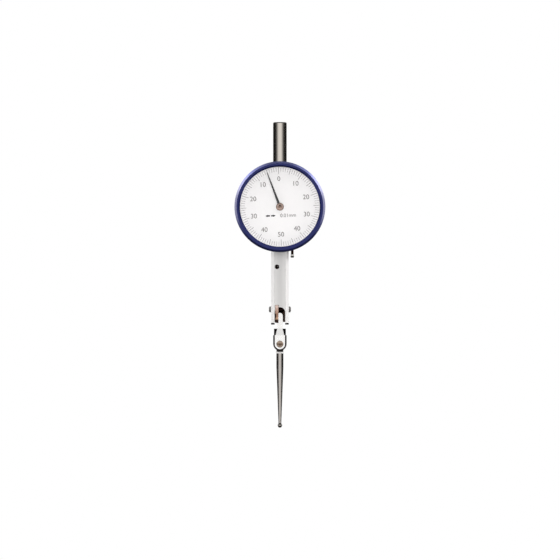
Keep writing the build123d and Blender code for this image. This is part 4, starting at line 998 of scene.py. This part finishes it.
# The near black of the painted shade on the lower half and tip.
dark = add(
    tree,
    "ShaderNodeMix",
    {"Factor": fine, "A": linear("#151314"), "B": linear("#2A2625")},
    data_type="RGBA",
)
tint = add(
    tree,
    "ShaderNodeMix",
    {"Factor": band, "A": dark.outputs["Result"], "B": linear("#D9D6D0")},
    data_type="RGBA",
).outputs["Result"]
shine = add(tree, "ShaderNodeMapRange", {"Value": band, "To Min": 1.0, "To Max": 0.4})
fill(shader, {"Base Color": tint, "Metallic": shine.outputs[0], "Roughness": 0.28})
dress(knob, "reversing_knob")

# Studio. The instrument hangs in front of a white backdrop over a pale floor that fades
# out round it. Broad soft light comes from all round and from above.
floor_radius = 0.30
floor_drop = 0.09
floor_level = cad_box[0].z - floor_drop
object_centre = (cad_box[0] + cad_box[1]) / 2
bpy.ops.mesh.primitive_circle_add(
    vertices=96, radius=floor_radius, fill_type="NGON", location=(0, 0, floor_level)
)
floor = bpy.context.object
floor.name = "studio_floor"
paper, tree = empty_material("Studio paper")
place = add(tree, "ShaderNodeTexCoord").outputs["Object"]
out = add(tree, "ShaderNodeVectorMath", {0: place}, operation="LENGTH").outputs["Value"]
fade = add(
    tree,
    "ShaderNodeMapRange",
    {"Value": out, "From Min": 0.4 * floor_radius, "From Max": 0.95 * floor_radius},
    interpolation_type="SMOOTHSTEP",
)
matt = add(tree, "ShaderNodeBsdfDiffuse", {"Color": linear("#F4F3F1")})
clear = add(tree, "ShaderNodeBsdfTransparent")
mixed = {0: fade.outputs[0], 1: matt.outputs[0], 2: clear.outputs[0]}
sheet = add(tree, "ShaderNodeMixShader", mixed)
add(tree, "ShaderNodeOutputMaterial", {"Surface": sheet.outputs[0]})
floor.data.materials.append(paper)

world = bpy.data.worlds.new("Studio")
bpy.context.scene.world = world
world.use_nodes = True
tree = world.node_tree
tree.nodes.clear()
rays = add(tree, "ShaderNodeLightPath").outputs
direct = {0: rays["Is Camera Ray"], 1: rays["Is Glossy Ray"]}
seen = add(tree, "ShaderNodeMath", direct, operation="ADD")
seen_through = {0: seen.outputs[0], 1: rays["Is Transmission Ray"]}
white = add(tree, "ShaderNodeMath", seen_through, operation="ADD", use_clamp=True)
level = add(tree, "ShaderNodeMapRange", {"Value": white.outputs[0], "To Min": 0.42, "To Max": 1.0})
sky = add(tree, "ShaderNodeBackground", {"Color": (1, 1, 1, 1), "Strength": level.outputs[0]})
add(tree, "ShaderNodeOutputWorld", {"Surface": sky.outputs[0]})

# Flags. Black cloth stands at both sides, lies below and hangs above. Only mirrors see it,
# and it draws the dark flanks of all that is polished. The side flags turn grey and then
# white towards the front and the back, and fade out towards their tops.
flag_distance = 0.9
flag_first_turn = 20
flag_last_turn = 166
flag_top = 0.42
flag_steps = 29
flag_tones = (
    (20, 1.0), (35, 0.62), (52, 0.22), (70, 0.035),
    (90, 0.012), (148, 0.012), (157, 0.4), (166, 1.0),
)
flag_cloth, tree = empty_material("Black flag cloth")
place = add(tree, "ShaderNodeTexCoord").outputs["Object"]
parts = add(tree, "ShaderNodeSeparateXYZ", {0: place}).outputs
front = add(tree, "ShaderNodeMath", {0: parts["Y"], 1: -1.0}, operation="MULTIPLY").outputs[0]
around = add(tree, "ShaderNodeMath", {0: parts["X"], 1: front}, operation="ARCTAN2")
aside = add(tree, "ShaderNodeMath", {0: around.outputs[0]}, operation="ABSOLUTE").outputs[0]
turn_share = add(tree, "ShaderNodeMath", {0: aside, 1: math.pi}, operation="DIVIDE")
darkness = add(tree, "ShaderNodeValToRGB", {"Fac": turn_share.outputs[0]})
stops = darkness.color_ramp.elements
for number, (degree, grey) in enumerate(flag_tones):
    stop = stops[number] if number < 2 else stops.new(degree / 180)
    stop.position = degree / 180
    stop.color = (grey, grey, grey, 1)
from_middle = {0: parts["Z"], 1: object_centre.z}
height = add(tree, "ShaderNodeMath", from_middle, operation="SUBTRACT").outputs[0]
rise = add(
    tree,
    "ShaderNodeMapRange",
    {"Value": height, "From Min": 0.55 * flag_top, "From Max": flag_top},
    interpolation_type="SMOOTHSTEP",
)
cloth = add(tree, "ShaderNodeEmission", {"Color": darkness.outputs["Color"], "Strength": 1.0})
open_air = add(tree, "ShaderNodeBsdfTransparent")
mixed = {0: rise.outputs[0], 1: cloth.outputs[0], 2: open_air.outputs[0]}
edge = add(tree, "ShaderNodeMixShader", mixed)
add(tree, "ShaderNodeOutputMaterial", {"Surface": edge.outputs[0]})


def reflection_card(name, corners, faces, material):
    """A studio card that only mirrors see: it is invisible itself and casts no shadow."""
    shape = bpy.data.meshes.new(name)
    shape.from_pydata(corners, [], faces)
    shape.materials.append(material)
    card = bpy.data.objects.new(name, shape)
    bpy.context.scene.collection.objects.link(card)
    card.visible_camera = False
    card.visible_diffuse = False
    card.visible_shadow = False
    card.visible_transmission = False
    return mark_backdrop(card)


flag_turn = (flag_last_turn - flag_first_turn) / flag_steps
for label, side in (("left", -1), ("right", 1)):
    corners = []
    for step in range(flag_steps + 1):
        turn = math.radians(flag_first_turn + flag_turn * step)
        across = side * flag_distance * math.sin(turn)
        for up in (floor_level, object_centre.z + flag_top):
            corners.append((across, -flag_distance * math.cos(turn), up))
    faces = [(2 * s, 2 * s + 1, 2 * s + 3, 2 * s + 2) for s in range(flag_steps)]
    reflection_card(f"flag_{label}", corners, faces, flag_cloth)

low_cloth_radius = 0.28
low_cloth_rise = 0.002
low_cloth_sides = 48
top_card_height = 0.60
top_card_half_width = 0.21
top_card_reach = (-0.34, 0.60)
plain_cloth, tree = empty_material("Black floor cloth")
cloth = add(tree, "ShaderNodeEmission", {"Color": (0.05, 0.05, 0.05, 1), "Strength": 1.0})
add(tree, "ShaderNodeOutputMaterial", {"Surface": cloth.outputs[0]})
turns = [math.tau * side / low_cloth_sides for side in range(low_cloth_sides)]
corners = [
    (
        low_cloth_radius * math.cos(turn),
        low_cloth_radius * math.sin(turn),
        floor_level + low_cloth_rise,
    )
    for turn in turns
]
reflection_card("flag_below", corners, [tuple(range(low_cloth_sides))], plain_cloth)
near, far = top_card_reach
corners = [
    (across * top_card_half_width, along, object_centre.z + top_card_height)
    for across, along in ((-1, near), (1, near), (1, far), (-1, far))
]
reflection_card("flag_above", corners, [(0, 1, 2, 3)], plain_cloth)

# Lamps. Broad soft boxes, placed from the instrument's centre and turned to it. Only the
# two upper ones are mirrored, as the pale lights on the bezel's and the case's edges.
for label, place, watts, width, mirrored in (
    ("upper_left", (-0.90, -0.05, 0.60), 3.0, 0.7, True),
    ("upper_right", (0.95, 0.00, 0.55), 4.4, 0.7, True),
    ("left", (-1.05, -0.15, 0.12), 2.3, 0.6, False),
    ("right", (1.05, -0.15, 0.12), 2.7, 0.6, False),
    ("top", (0.0, -0.30, 1.10), 2.5, 0.8, False),
    ("front", (0.0, -1.60, 0.17), 11.7, 0.9, False),
    ("back", (0.20, 0.95, 0.60), 5.0, 0.7, False),
):
    lamp = bpy.data.lights.new(label, "AREA")
    lamp.energy = watts
    lamp.size = width
    lamp_object = bpy.data.objects.new(label, lamp)
    lamp_object.location = object_centre + Vector(place)
    lamp_object.rotation_euler = (-Vector(place)).to_track_quat("-Z", "Y").to_euler()
    lamp_object.visible_glossy = mirrored
    bpy.context.scene.collection.objects.link(lamp_object)

# Camera. Level with the instrument and square to the dial, from far enough back that
# the photograph's flat look holds; the frame is as wide as the photograph's.
picture_pixels = 560
stem_pixels = 13.75
stem_width = 6.0 * MM
dial_pixel = (279.9, 207.0)
camera_distance = 3.2
pixel = stem_width / stem_pixels
camera = bpy.data.cameras.new("Camera")
camera.sensor_width = 36
camera.lens = camera.sensor_width * camera_distance / (picture_pixels * pixel)
camera_object = bpy.data.objects.new("Camera", camera)
bpy.context.scene.collection.objects.link(camera_object)
bpy.context.scene.camera = camera_object
half_picture = picture_pixels / 2
camera_object.location = (
    dial_centre.x + (half_picture - dial_pixel[0]) * pixel,
    -camera_distance,
    dial_centre.z - (half_picture - dial_pixel[1]) * pixel,
)
camera_object.rotation_euler = (math.radians(90), 0, 0)
bpy.context.scene.view_settings.view_transform = "Standard"
